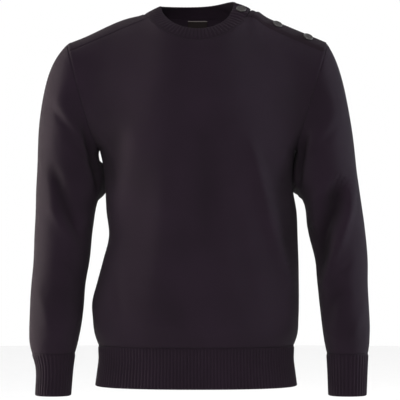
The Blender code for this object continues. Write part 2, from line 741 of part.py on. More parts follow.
def coarse_collar(middles):
    """The collar as a plain ring at the panels' own points, from which the seam gets its mitre."""
    return np.stack([neck_points(middles), collar_edge(neck_angles())])


def collar(middles, outwards):
    """The ribbed crew collar, open at the wearer's left: its front end laps over its rear end."""
    ring_angles = neck_angles()
    seam = neck_points(middles)
    mitre = outwards["collar"][0]
    knots = np.concatenate([ring_angles - 360.0, ring_angles, ring_angles + 360.0])
    seam = np.concatenate([seam, seam, seam])
    mitre = np.concatenate([mitre, mitre, mitre])

    coarse = knots[(knots > LAP_UNDER - 360.0) & (knots < LAP_END)]
    coarse = np.concatenate([[LAP_UNDER - 360.0], coarse, [LAP_END]])
    fine = np.concatenate(
        [np.linspace(a, b, COLLAR_SPLIT + 1)[:-1] for a, b in zip(coarse[:-1], coarse[1:])] + [[LAP_END]]
    )

    def band(degrees):
        base = np.stack([np.interp(degrees, knots, seam[:, axis]) for axis in range(3)], axis=-1)
        out = np.stack([np.interp(degrees, knots, mitre[:, axis]) for axis in range(3)], axis=-1)
        edge = collar_edge(degrees)
        half = (lifted(neck_ring(NECK_SEAM, degrees)) + edge) / 2
        rows = np.stack([base, half, edge])
        true = normals(rows)
        true[0] = out
        lift = LAP_LIFT * smooth((degrees - LAP_START) / (LAP_UNDER - 1.0 - LAP_START))
        return rows + true * lift[None, :, None], true

    middle, out = band(fine)
    inner_middle, inner_out = band(coarse)
    under = smooth((LAP_END + 3.0 - 360.0 - fine) / 3.0)
    height = RIB_HEIGHT * (1 - under) * np.array(COLLAR_RIB_SHARES)[:, None]
    middle = draw_back(middle, 2 * out, "first_row")
    inner_middle = draw_back(inner_middle, 2 * inner_out, "first_row")
    ribbed_wall("collar", middle, out, inner_middle, inner_out, height)
    return middle, out, fine


def down_columns(grid, distances):
    """Points at the given distances from the top of each column of a grid."""
    rows = np.zeros((len(distances), grid.shape[1], 3))
    for column in range(grid.shape[1]):
        line = grid[::-1, column]
        walked = np.concatenate([[0.0], np.cumsum(np.linalg.norm(np.diff(line, axis=0), axis=1))])
        for axis in range(3):
            rows[:, column, axis] = np.interp(distances, walked, line[:, axis])
    return rows


def between_columns(grid, places):
    """Columns of a grid at places between its own, counted from its first."""
    first = np.minimum(places.astype(int), grid.shape[1] - 2)
    part = (places - first)[None, :, None]
    return grid[:, first] * (1 - part) + grid[:, first + 1] * part


def button_band():
    """The band on the wearer's left shoulder, its rows running back over the shoulder."""
    shares = np.linspace(BAND_NECK_SHARE, BAND_ARM_SHARE, BAND_STEPS + 1)
    rows = {}
    for face, distances in (("front", [BAND_LAP, BAND_LAP / 2]), ("back", np.linspace(0, BAND_WIDTH, 5))):
        neck = NECK_STEPS[face] / (NECK_STEPS[face] + SHOULDER_STEPS)
        across = neck + (1 - neck) * shares
        rows[face] = down_columns(upper_panel(face, across, FINE_STEPS), distances)
    middle = np.concatenate([rows["front"], rows["back"]])
    outward = normals(middle)
    middle = middle + outward * (WALL / 2 + BAND_CLEAR + BAND_WALL / 2)
    half = outward * BAND_WALL / 2
    wall("shoulder_placket", middle + half, middle - half, RIB)
    return middle, outward


def button(name, place, axis):
    """A dished round button with a rim and four holes, its back at the given place."""
    profile = (
        (0.0, 0.62),
        (0.68, 0.62),
        (0.76, 0.92),
        (0.86, 1.0),
        (0.95, 0.88),
        (1.0, 0.60),
        (0.96, 0.28),
        (0.70, 0.0),
        (0.0, 0.0),
    )
    mesh = bpy.data.meshes.new(name)
    points = [(BUTTON_RADIUS * across, 0.0, BUTTON_HEIGHT * up) for across, up in profile]
    mesh.from_pydata(points, [(at, at + 1) for at in range(len(points) - 1)], [])
    made = place_object(name, mesh)
    made.location = place
    made.rotation_euler = Vector(axis).to_track_quat("Z", "Y").to_euler()
    turn = made.modifiers.new("turned", "SCREW")
    turn.steps = BUTTON_SIDES
    turn.render_steps = BUTTON_SIDES
    turn.use_merge_vertices = True
    turn.merge_threshold = 0.00001
    turn.use_smooth_shade = True
    mesh.materials.append(BUTTON)
    build = bmesh.new()
    for corner in range(4):
        angle = math.radians(45 + 90 * corner)
        hole = bmesh.ops.create_cone(
            build, cap_ends=True, segments=8, radius1=BUTTON_HOLE, radius2=BUTTON_HOLE, depth=3 * BUTTON_HEIGHT
        )
        shift = Vector((BUTTON_HOLE_PITCH * math.cos(angle), BUTTON_HOLE_PITCH * math.sin(angle), 0.0))
        bmesh.ops.translate(build, verts=hole["verts"], vec=shift)
    cutter_mesh = bpy.data.meshes.new(f"{name}_holes")
    build.to_mesh(cutter_mesh)
    build.free()
    cutter = bpy.data.objects.new(f"{name}_holes", cutter_mesh)
    CUTTERS.objects.link(cutter)
    cutter.parent = made
    cutter.hide_render = True
    cutter.display_type = "WIRE"
    cut = made.modifiers.new("holes", "BOOLEAN")
    cut.operation = "DIFFERENCE"
    cut.object = cutter


def neck_label(back):
    """A bare label hanging inside the back from the neck seam, following the back panel's own points."""
    middle = back.shape[1] // 2
    spread = between_columns(back[-4:], np.linspace(middle - 3, middle + 3, 61))
    hung = down_columns(spread, np.linspace(LABEL_LENGTH, LABEL_TOP, 4))
    across = np.linspace(LABEL_HALF, -LABEL_HALF, 5)
    rows = np.stack(
        [[np.interp(-across, -row[:, 0], row[:, axis]) for axis in range(3)] for row in hung]
    ).transpose(0, 2, 1)
    inward = -normals(rows)
    rows = rows + inward * (WALL / 2 + LABEL_CLEAR + LABEL_WALL / 2)
    half = inward * LABEL_WALL / 2
    wall("neck_label", rows - half, rows + half, LABEL)


for leftover in list(bpy.data.objects):
    bpy.data.objects.remove(leftover, do_unlink=True)
GARMENT = bpy.data.collections.new("button_shoulder_sweater")
CUTTERS = bpy.data.collections.new("cutters")
bpy.context.scene.collection.children.link(GARMENT)
bpy.context.scene.collection.children.link(CUTTERS)
KNIT = dyed("knit", 0.9)
RIB = dyed("rib", 0.9)
BUTTON = dyed("button", 0.45)
LABEL = dyed("label", 0.7)

middles = {"front_panel": panel("front"), "back_panel": panel("back")}
ROW = LOWER_STEPS
fore_edge = {1: middles["front_panel"][ROW:, -1], -1: middles["front_panel"][ROW:, 0]}
rear_edge = {1: middles["back_panel"][ROW:, 0], -1: middles["back_panel"][ROW:, -1]}
for side, name in ((1, "sleeve_left"), (-1, "sleeve_right")):
    hole = np.concatenate([fore_edge[side], rear_edge[side][::-1][1:-1]])
    middles[name] = sleeve(side, hole)
middles["collar"] = coarse_collar(middles)

outwards = {
    "front_panel": normals(middles["front_panel"]),
    "back_panel": normals(middles["back_panel"]),
    "sleeve_left": -normals(middles["sleeve_left"], ring=True),
    "sleeve_right": normals(middles["sleeve_right"], ring=True),
    "collar": normals(middles["collar"], ring=True),
}
outwards = share_seams(middles, outwards)
for name in ("front_panel", "back_panel"):
    outwards[name][0] = level(outwards[name][0])
for name in ("sleeve_left", "sleeve_right"):
    outwards[name][-1] = level(outwards[name][-1])

for name in ("front_panel", "back_panel"):
    grid = draw_back(middles[name], outwards[name], "first_row", "last_row", "first_column", "last_column")
    plain_wall(name, grid, outwards[name])
for name in ("sleeve_left", "sleeve_right"):
    reach = np.linalg.norm(outwards[name], axis=-1, keepdims=True)
    grid = draw_back(middles[name], ARMHOLE_DRAW * reach * outwards[name], "first_row")
    grid = draw_back(grid, outwards[name], "last_row")
    plain_wall(name, grid, outwards[name], ring=True)
hem_band("front")
hem_band("back")
cuff(1, "cuff_left")
cuff(-1, "cuff_right")
collar_middle, collar_out, collar_degrees = collar(middles, outwards)
band_middle, band_out = button_band()
at = int(np.abs(collar_degrees - COLLAR_BUTTON_ANGLE).argmin())
lift = RIB_WALL / 2 + RIB_HEIGHT + SEAM_GAP
button("button_collar", collar_middle[1, at] + collar_out[1, at] * lift, collar_out[1, at])
for name, share in BAND_BUTTONS.items():
    at = round(share * BAND_STEPS)
    out = band_out[4, at]
    button(name, band_middle[4, at] + out * (BAND_WALL / 2 + SEAM_GAP), out)
neck_label(middles["back_panel"])
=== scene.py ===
# %% [markdown]
# # A button shoulder sweater, knitted and worn
#
# This notebook dresses a plain solid model of a fine-knit sweater. The solid model gives the place of every
# piece: front, back, two sleeves, ribbed cuffs, hem and collar, a band with three buttons on the wearer's
# left shoulder, and a label inside the neck. Here each piece is made again as real cloth: a thin wall with
# folds, seams, ribs and stitches. The front faces -Y and the wearer's left is +X. Lengths are in metres.

# %% Load the solid model
import json
import math

import bmesh
import bpy
import numpy as np
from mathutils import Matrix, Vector

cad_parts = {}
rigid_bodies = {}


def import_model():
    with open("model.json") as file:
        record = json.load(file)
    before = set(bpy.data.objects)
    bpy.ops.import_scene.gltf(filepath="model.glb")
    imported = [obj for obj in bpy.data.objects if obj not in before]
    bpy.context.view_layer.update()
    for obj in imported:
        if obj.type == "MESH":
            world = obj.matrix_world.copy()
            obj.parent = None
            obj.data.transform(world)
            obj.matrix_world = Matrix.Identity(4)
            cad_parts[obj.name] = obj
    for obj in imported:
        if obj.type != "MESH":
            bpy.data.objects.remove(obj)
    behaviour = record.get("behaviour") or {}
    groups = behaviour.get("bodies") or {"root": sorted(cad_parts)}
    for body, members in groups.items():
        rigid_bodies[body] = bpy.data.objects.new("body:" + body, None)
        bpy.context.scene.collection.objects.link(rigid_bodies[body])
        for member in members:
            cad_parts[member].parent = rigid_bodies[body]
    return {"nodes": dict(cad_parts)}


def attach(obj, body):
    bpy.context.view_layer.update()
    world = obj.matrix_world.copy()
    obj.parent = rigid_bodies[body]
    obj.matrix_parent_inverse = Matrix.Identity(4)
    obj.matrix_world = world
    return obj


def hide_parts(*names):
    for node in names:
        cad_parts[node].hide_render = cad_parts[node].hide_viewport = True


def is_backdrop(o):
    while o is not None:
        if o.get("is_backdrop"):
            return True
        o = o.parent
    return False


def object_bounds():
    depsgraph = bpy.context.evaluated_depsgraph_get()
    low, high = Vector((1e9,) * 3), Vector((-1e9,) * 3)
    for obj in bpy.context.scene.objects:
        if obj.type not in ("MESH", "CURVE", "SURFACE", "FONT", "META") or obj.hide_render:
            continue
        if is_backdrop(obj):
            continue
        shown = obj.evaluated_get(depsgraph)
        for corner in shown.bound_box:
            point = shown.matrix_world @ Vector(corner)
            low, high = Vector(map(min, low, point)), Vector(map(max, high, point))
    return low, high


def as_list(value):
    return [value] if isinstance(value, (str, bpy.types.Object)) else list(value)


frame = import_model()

solid_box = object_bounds()
print("solid model:", sorted(frame["nodes"]))
print("box in mm:", [round(1000 * (high - low)) for low, high in zip(*solid_box)])

# %% [markdown]
# ## Camera
#
# The sweater was photographed from straight in front with a long lens, level with the middle of the garment.
# A long lens keeps the sleeves from looking nearer than the body. The camera stands 4.5 m away, and its lens
# is worked out from the width of the view at that distance.

# %% Camera
def placed(name, data):
    """An object with this data, linked to the scene."""
    made = bpy.data.objects.new(name, data)
    bpy.context.scene.collection.objects.link(made)
    return made


VIEW_CENTRE = Vector((0.0046, 0.0, -0.3441))
VIEW_DISTANCE = 4.5
VIEW_WIDTH = 0.74

camera_data = bpy.data.cameras.new("camera")
camera_data.sensor_width = 36.0
camera_data.lens = camera_data.sensor_width * VIEW_DISTANCE / VIEW_WIDTH
camera = placed("camera", camera_data)
camera.location = VIEW_CENTRE + Vector((0.0, -VIEW_DISTANCE, 0.0))
camera.rotation_euler = (math.radians(90), 0.0, 0.0)
bpy.context.scene.camera = camera
print("lens", round(camera_data.lens, 1), "mm")

# %% [markdown]
# ## Floor and light
#
# A dark garment shows its form only by its soft highlights. A large lamp in front, a little above, lights it
# all. A warm one at the viewer's left, level with the sleeve, draws the light edge down that sleeve. A cool,
# weaker one does the same at the right, and a pale sky lights the rest. The floor is one wide pale disc well
# below the hem, because the sweater hangs as if its wearer were in it.

# %% Floor and light
FLOOR_HEIGHT = -1.15
FLOOR_RADIUS = 9.0

floor_mesh = bpy.data.meshes.new("floor")
floor_shape = bmesh.new()
bmesh.ops.create_circle(floor_shape, cap_ends=True, cap_tris=True, segments=96, radius=FLOOR_RADIUS)
bmesh.ops.translate(floor_shape, verts=floor_shape.verts, vec=(0.0, 0.0, FLOOR_HEIGHT))
floor_shape.to_mesh(floor_mesh)
floor_shape.free()
floor = placed("floor", floor_mesh)
floor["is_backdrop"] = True

world = bpy.data.worlds.new("pale studio")
world.use_nodes = True
world.node_tree.nodes["Background"].inputs["Color"].default_value = (1.0, 1.0, 1.0, 1.0)
world.node_tree.nodes["Background"].inputs["Strength"].default_value = 1.0
bpy.context.scene.world = world
bpy.context.scene.view_settings.view_transform = "Standard"

LAMPS = (
    ("name", "x", "y", "z", "width", "watts", "colour"),
    ("key_lamp", -0.3, -3.6, 1.4, 1.2, 272.0, (1.0, 0.98, 0.98)),
    ("left_side_lamp", -2.6, 0.85, -0.2, 1.5, 345.0, (1.0, 0.92, 0.84)),
    ("right_side_lamp", 2.9, 0.7, 0.2, 1.4, 165.0, (0.86, 0.92, 1.0)),
)
for name, x, y, z, width, watts, colour in LAMPS[1:]:
    lamp_data = bpy.data.lights.new(name, "AREA")
    lamp_data.shape = "DISK"
    lamp_data.size = width
    lamp_data.energy = watts
    lamp_data.color = colour
    lamp = placed(name, lamp_data)
    lamp.location = (x, y, z)
    lamp.rotation_euler = (VIEW_CENTRE - Vector((x, y, z))).to_track_quat("-Z", "Y").to_euler()
print("lamps:", [row[0] for row in LAMPS[1:]])

# %% [markdown]
# ## Sizes of the cloth
#
# The sizes below are those of the solid model, so that the cloth lies where the solids are. A fine jumper's
# wall is drawn 2.5 mm thick, a little thicker than the real one, so that its cut edges show. The tables give
# the body and the sleeves as level sections, each with its reach to the four sides.

# %% Sizes of the cloth
WALL = 0.0025
RIB_WALL = 0.0020
RIB_HEIGHT = 0.0014

HEM_SEAM = -0.6120
HEM_END = -0.6865
UNDERARM = -0.2500
SLEEVE_FREE = -0.3000
CUFF_SEAM = -0.6253

NECK_MIDDLE = -0.005
NECK_SEAM = {
    "half": 0.098, "front": 0.090, "back": 0.083,
    "low": -0.0544, "side": -0.003, "rear": -0.004, "rise": 2.0,
}
COLLAR_EDGE = {
    "half": 0.067, "front": 0.072, "back": 0.067,
    "low": -0.0323, "side": 0.013, "rear": 0.0170, "rise": 1.1,
}
COLLAR_STAND = 0.0090
COLLAR_STAND_ANGLE = 112.0
COLLAR_STAND_SPREAD = 40.0

LIFT = 0.0085
LIFT_ACROSS = (0.104, 0.015)
LIFT_DEEP = (-0.010, 0.060)
LIFT_FROM = -0.120
LIFT_FULL = -0.040

ARMHOLE_BOTTOM = 0.180
ARMHOLE_TOP = 0.239
SHOULDER_END = -0.057
ARMHOLE_HALF = 0.062
ARMHOLE_SQUARE = 2.4
ARMHOLE_BEND = {-1: 0.75, 1: 1.0}
SHOULDER_SEAM = -0.040
SEAM_ANGLE = math.degrees(math.acos((NECK_MIDDLE - SHOULDER_SEAM) / NECK_SEAM["front"]))

BODY_SECTIONS = (
    ("height", "right", "left", "front", "back"),
    (-0.6120, 0.1815, 0.1765, 0.108, 0.094),
    (-0.5950, 0.1875, 0.1825, 0.115, 0.100),
    (-0.5590, 0.1915, 0.1855, 0.121, 0.104),
    (-0.5290, 0.1925, 0.1860, 0.123, 0.104),
    (-0.4995, 0.1850, 0.1860, 0.124, 0.102),
    (-0.4550, 0.1730, 0.1855, 0.124, 0.098),
    (-0.4110, 0.1625, 0.1840, 0.125, 0.095),
    (-0.3660, 0.1665, 0.1820, 0.126, 0.096),
    (-0.3220, 0.1695, 0.1750, 0.128, 0.101),
    (-0.2800, 0.1735, 0.1755, 0.131, 0.107),
    (-0.2500, 0.1800, 0.1800, 0.132, 0.111),
    (-0.2200, 0.1870, 0.1870, 0.131, 0.114),
)
BODY_SQUARE = 2.35
print("body:", len(BODY_SECTIONS) - 1, "sections; hem seam at", HEM_SEAM, "and underarm at", UNDERARM)

# %% [markdown]
# ## Small tools for curves
#
# Most shapes here are rows of points that follow one another, so a few small tools do most of the work. The
# first ones draw a smooth curve through the rows of a table, ease a value in and out, and measure or divide a
# line by the length walked along it. Each one takes whole arrays, so no loop ever runs over single points.

# %% Tools for curves
def columns(table):
    """The columns of a table by name."""
    names, *rows = table
    return dict(zip(names, np.array(rows, float).T))


def through(at, knots, values):
    """A cubic through the knots: slope at each knot = rise between its neighbours / run between them."""
    slopes = np.gradient(values, knots)
    first = np.clip(np.searchsorted(knots, at) - 1, 0, len(knots) - 2)
    gap = knots[first + 1] - knots[first]
    u = (at - knots[first]) / gap
    return (
        (1 + 2 * u) * (1 - u) ** 2 * values[first]
        + u * (1 - u) ** 2 * gap * slopes[first]
        + u**2 * (3 - 2 * u) * values[first + 1]
        - u**2 * (1 - u) * gap * slopes[first + 1]
    )


def section(table, height):
    """Every reach of a table of sections at a height."""
    found = columns(table)
    knots = found.pop("height")
    order = np.argsort(knots)
    return {name: through(height, knots[order], values[order]) for name, values in found.items()}


def unit(vectors):
    """Vectors divided by their lengths."""
    return vectors / np.linalg.norm(vectors, axis=-1, keepdims=True)


def smooth(share):
    """3 s squared - 2 s cubed: eases from 0 to 1."""
    share = np.clip(share, 0.0, 1.0)
    return share * share * (3 - 2 * share)


def plateau(walked, whole, ease):
    """smooth(walked / ease) x smooth((whole - walked) / ease): 1 in the middle and 0 at both ends."""
    return smooth(walked / ease) * smooth((whole - walked) / ease)


def walked_down(grid, axis):
    """Length walked along a grid's columns (axis 0) or rows (axis 1) from its first line."""
    steps = np.linalg.norm(np.diff(grid, axis=axis), axis=-1)
    return np.insert(np.cumsum(steps, axis=axis), 0, 0.0, axis=axis)


def read_off(at, knots, line):
    """The points of a line at places between its knots, by straight steps."""
    return np.stack([np.interp(at, knots, line[:, axis]) for axis in range(line.shape[1])], axis=-1)


def even(line, steps):
    """A line of points walked again in equal steps."""
    walked = walked_down(line, 0)
    return read_off(np.linspace(0.0, walked[-1], steps + 1), walked, line)


print("half way, eased:", smooth(0.5))

# %% [markdown]
# ## Small tools for surfaces
#
# A bridge fills the space between two rows with cubic columns, an oval gives the level sections their shape,
# and the normals say which way is outwards at each point of a grid.

# %% Tools for surfaces
def bridge(start, leave, end, arrive, shares):
    """Cubic columns from one row of points to another: each leaves and arrives along its given vector."""
    t = shares[:, None, None]
    return (
        (1 + 2 * t) * (1 - t) ** 2 * start
        + t * (1 - t) ** 2 * leave
        + t**2 * (3 - 2 * t) * end
        - t**2 * (1 - t) * arrive
    )


def oval(angle, square):
    """cos and sin, each raised to 2 / square, signs kept: squarer than an ellipse where square is over 2."""
    cosine = np.cos(angle)
    sine = np.sin(angle)
    power = 2.0 / square
    return np.sign(cosine) * np.abs(cosine) ** power, np.sign(sine) * np.abs(sine) ** power


def quarter_oval(square):
    """Points of a quarter of the oval, one for every half degree."""
    return oval(np.radians(np.linspace(0.0, 90.0, 181)), square)


def normals(grid, ring=False):
    """Outward unit vectors: (step along the row) x (step up the column), for rows that run to the left."""
    if ring:
        along = np.roll(grid, -1, axis=1) - np.roll(grid, 1, axis=1)
    else:
        along = np.gradient(grid, axis=1)
    return unit(np.cross(along, np.gradient(grid, axis=0)))


print("an oval's corner:", [round(float(v), 3) for v in oval(math.radians(45), BODY_SQUARE)])

# %% [markdown]
# ## Neck and armholes
#
# The neckline and the armholes come first, because the front, the back, the collar and the sleeves all have
# to meet on them. The neck seam is an oval ring that dips at the front. Each armhole is an upright oval that
# leans outwards towards the shoulder point.

# %% Neck and armhole lines
ARMHOLE_POINTS = 241
SEAM_POINTS = 901


def neck_ring(ring, degrees):
    """x = half sin a, y = middle - reach cos a, z between side and front level by |cos a| to the rise."""
    angle = np.radians(degrees)
    forward = np.cos(angle)
    reach = np.where(forward > 0, ring["front"], ring["back"])
    level = np.where(forward > 0, ring["low"], ring["rear"])
    x = ring["half"] * np.sin(angle)
    y = NECK_MIDDLE - reach * forward
    z = ring["side"] + (level - ring["side"]) * np.abs(forward) ** ring["rise"]
    return np.stack([x, y, z], axis=-1)


def lifted(points):
    """z + lift x exp(-(x off / spread) squared - (y off / spread) squared): the buttoned shoulder's rise."""
    across = (points[..., 0] - LIFT_ACROSS[0]) / LIFT_ACROSS[1]
    deep = (points[..., 1] - LIFT_DEEP[0]) / LIFT_DEEP[1]
    begun = smooth((points[..., 2] - LIFT_FROM) / (LIFT_FULL - LIFT_FROM))
    moved = points.copy()
    moved[..., 2] += LIFT * np.exp(-across * across - deep * deep) * begun
    return moved


def collar_edge(degrees):
    """The collar's free edge, raised by a bell curve where the two ends of the collar lap."""
    edge = neck_ring(COLLAR_EDGE, degrees)
    off = (np.mod(degrees - COLLAR_STAND_ANGLE + 180.0, 360.0) - 180.0) / COLLAR_STAND_SPREAD
    edge[..., 2] += COLLAR_STAND * np.exp(-off * off)
    return lifted(edge)


def armhole(side, start, end):
    """Round an armhole: x grows with height, y and z follow an oval; 0 is the underarm, 90 the front."""
    up, fore = oval(np.radians(np.linspace(start, end, ARMHOLE_POINTS)), ARMHOLE_SQUARE)
    share = (1 - up) / 2
    x = ARMHOLE_BOTTOM + (ARMHOLE_TOP - ARMHOLE_BOTTOM) * share ** ARMHOLE_BEND[side]
    y = -ARMHOLE_HALF * fore
    z = UNDERARM + (SHOULDER_END - UNDERARM) * share
    return np.stack([side * x, y, z], axis=-1)


def shoulder_angle():
    """The angle round the armhole at which the shoulder seam meets it."""
    degrees = np.linspace(90.0, 180.0, SEAM_POINTS)
    _, fore = oval(np.radians(degrees), ARMHOLE_SQUARE)
    return float(np.interp(-SHOULDER_SEAM / ARMHOLE_HALF, fore[::-1], degrees[::-1]))


print("the shoulder seam meets the armhole at", round(shoulder_angle()), "degrees")

# %% [markdown]
# ## Front and back
#
# On the real sweater the front and the back are knitted flat and take their roundness from the wearer. Here
# each is a grid. Below the underarm its rows are level sections of the body. Above it, smooth columns rise
# to the neck seam and the shoulder seams, and the armholes draw the outer columns in. The grid is as fine as
# a few stitches, so that small creases have room.

# %% Rows and columns of a panel
SHOULDER_STEPS = 8
NECK_STEPS = {"front": 6, "back": 8}
LOWER_STEPS = 14
UPPER_STEPS = {"front": 10, "back": 12}
COLUMN_SPLIT = 8
LOWER_SPLIT = 6
UPPER_SPLIT = 8
EVEN_COLUMNS = 161
EVEN_ROUNDS = 100
EVEN_FADE = 0.22
TOP_CROWDING = 0.35
SLOPE_NUDGE = 0.002
PULL_FROM = 0.5

FRONT_ENDS = (
    ("share", "x", "y", "z", "reach", "leave"),
    (0.00, 0.00, 0.55, 0.83, 0.9, 1.0),
    (0.43, -0.35, 0.62, 0.70, 0.8, 1.0),
    (1.00, 0.00, 0.74, 0.67, 0.9, 1.0),
)
BACK_ENDS = (
    ("share", "x", "y", "z", "reach", "leave"),
    (0.00, 0.00, -0.42, 0.90, 0.8, 0.90),
    (0.15, -0.20, -0.58, 0.78, 0.80, 0.80),
    (0.30, -0.50, -0.78, 0.32, 0.95, 0.74),
    (0.42, -0.66, -0.76, -0.16, 1.10, 0.68),
    (0.52, -0.42, -0.86, -0.44, 1.50, 0.62),
    (0.65, -0.15, -0.82, -0.58, 1.75, 0.66),
    (1.00, 0.00, -0.74, -0.67, 1.7, 0.80),
)
print("cells up a panel below the underarm:", LOWER_STEPS * LOWER_SPLIT)

# %% [markdown]
# The rows below the underarm come first, then the top edge, and then the columns that join the two.

# %% Points of a panel
def body_row(face, across, height):
    """One level row: a quarter oval on each side, walked evenly from the middle (0) to the side seam (1)."""
    sizes = section(BODY_SECTIONS, np.array(height))
    row = np.zeros((len(across), 3))
    for side, name in ((-1, "right"), (1, "left")):
        depth, half = quarter_oval(BODY_SQUARE)
        quarter = np.stack([half * sizes[name], depth * sizes[face]], axis=-1)
        walked = walked_down(quarter, 0)
        mine = np.sign(across) == side
        row[mine, :2] = read_off(np.abs(across[mine]) * walked[-1], walked, quarter) * (side, 1)
    row[np.sign(across) == 0, 1] = sizes[face]
    row[:, 1] *= -1 if face == "front" else 1
    row[:, 2] = height
    return row


def neck_share(face):
    """How much of half a panel's top edge is neck; the rest is shoulder."""
    return NECK_STEPS[face] / (NECK_STEPS[face] + SHOULDER_STEPS)


def top_edge(face, across):
    """The top edge of a panel: the neck seam in the middle, then a straight shoulder seam on each side."""
    neck = neck_share(face)
    share = np.abs(across) / neck
    degrees = share * SEAM_ANGLE if face == "front" else 180.0 - share * (180.0 - SEAM_ANGLE)
    side = np.where(across < 0, -1.0, 1.0)
    edge = neck_ring(NECK_SEAM, side * degrees)
    corner = neck_ring(NECK_SEAM, side * SEAM_ANGLE)
    ends = {hand: armhole(hand, 0.0, shoulder_angle())[-1] for hand in (-1, 1)}
    arm = np.where(side[:, None] < 0, ends[-1], ends[1])
    along = np.clip((np.abs(across) - neck) / (1 - neck), 0.0, 1.0)[:, None]
    return np.where(share[:, None] <= 1 + 1e-9, edge, corner + (arm - corner) * along)


print("neck's share of the top edge:", {face: round(neck_share(face), 2) for face in NECK_STEPS})

# %% [markdown]
# ## Columns over the chest and shoulders
#
# The columns are first drawn straight up from the underarm row as cubic curves, evened out, and then drawn in
# at the sides until the outermost ones lie on the armholes.

# %% Upper part of a panel
def free_columns(face, across, steps):
    """Cubic columns from the underarm row to the top edge, before the armholes draw them in."""
    start = body_row(face, across, UNDERARM)
    above = body_row(face, across, UNDERARM + SLOPE_NUDGE)
    below = body_row(face, across, UNDERARM - SLOPE_NUDGE)
    leave = (above - below) / (2 * SLOPE_NUDGE)
    end = top_edge(face, across)
    chord = np.linalg.norm(end - start, axis=1, keepdims=True)
    ways = columns(FRONT_ENDS if face == "front" else BACK_ENDS)
    knots = ways.pop("share")
    found = {name: np.interp(np.abs(across), knots, values) for name, values in ways.items()}
    arrive = unit(np.stack([np.sign(across) * found["x"], found["y"], found["z"]], axis=-1))
    leave *= chord * found["leave"][:, None]
    shares = np.linspace(0.0, 1.0, steps + 1)
    shares *= 1 + TOP_CROWDING * (1 - shares)
    return bridge(start, leave, end, arrive * chord * found["reach"][:, None], shares)


def upper_panel(face, across, steps):
    """The part above the underarm: each point moves towards its neighbours' middle, many times over."""
    free = free_columns(face, np.linspace(-1.0, 1.0, EVEN_COLUMNS), steps)
    up = np.linspace(0.0, 1.0, steps + 1)
    weight = plateau(up, 1, EVEN_FADE)[:, None, None] / 4
    for _ in range(EVEN_ROUNDS):
        free[:, 1:-1] += weight * (free[:, 2:] + free[:, :-2] - 2 * free[:, 1:-1])
    place = (across + 1) / 2 * (EVEN_COLUMNS - 1)
    left = np.minimum(place.astype(int), EVEN_COLUMNS - 2)
    between = (place - left)[None, :, None]
    grid = free[:, left] * (1 - between) + free[:, left + 1] * between
    grid[0] = body_row(face, across, UNDERARM)
    grid[-1] = top_edge(face, across)
    for side, column in ((-1.0, 0), (1.0, -1)):
        first = 0.0 if face == "front" else 360.0
        edge = even(armhole(int(side), first, shoulder_angle()), steps)
        pull = smooth((across * side - PULL_FROM) / (1 - PULL_FROM))
        grid = grid + (edge - free[:, column])[:, None, :] * pull[None, :, None]
    return lifted(grid)


print("front: columns", 2 * (NECK_STEPS["front"] + SHOULDER_STEPS) * COLUMN_SPLIT + 1)

# %% [markdown]
# ## Folds
#
# A jumper that fits hangs in a few long soft folds: from each armhole down towards the waist, a shallow
# trough between the chest and the hem, and short drags at the underarm. They are uneven in length, depth and
# spacing. Each fold is a curve drawn by three points. It lifts the cloth beside it by its height times a bell
# curve of the distance, and it fades out at both ends. Slow waves keep the plain cloth between them alive.

# %% Where the folds of the front and back lie
FRONT_FOLDS = (
    ("x1", "z1", "x2", "z2", "x3", "z3", "width", "height"),
    (-0.108, -0.185, -0.124, -0.300, -0.160, -0.415, 0.022, 0.0030),
    (-0.145, -0.200, -0.150, -0.270, -0.158, -0.350, 0.018, -0.0040),
    (0.092, -0.215, 0.118, -0.345, 0.184, -0.560, 0.013, 0.0095),
    (0.150, -0.270, 0.162, -0.370, 0.180, -0.480, 0.020, -0.0060),
    (0.010, -0.150, 0.012, -0.320, 0.030, -0.470, 0.022, -0.0030),
    (-0.185, -0.520, -0.178, -0.560, -0.172, -0.600, 0.012, 0.0030),
    (0.168, -0.520, 0.169, -0.560, 0.166, -0.600, 0.012, 0.0035),
    (-0.190, -0.212, -0.172, -0.236, -0.146, -0.276, 0.0075, 0.0024),
    (-0.178, -0.246, -0.166, -0.272, -0.154, -0.322, 0.0065, -0.0020),
    (0.190, -0.205, 0.168, -0.236, 0.140, -0.300, 0.0080, 0.0026),
    (0.178, -0.252, 0.170, -0.290, 0.166, -0.345, 0.0065, -0.0018),
    (-0.060, -0.250, -0.066, -0.400, -0.098, -0.560, 0.0200, 0.0016),
    (0.060, -0.300, 0.070, -0.420, 0.112, -0.580, 0.0160, -0.0014),
    (-0.158, -0.455, -0.142, -0.500, -0.138, -0.575, 0.0110, -0.0018),
    (0.176, -0.455, 0.158, -0.505, 0.150, -0.590, 0.0100, 0.0016),
    (-0.120, -0.560, -0.070, -0.576, -0.020, -0.570, 0.0110, 0.0011),
    (0.020, -0.574, 0.066, -0.584, 0.112, -0.572, 0.0120, 0.0010),
)
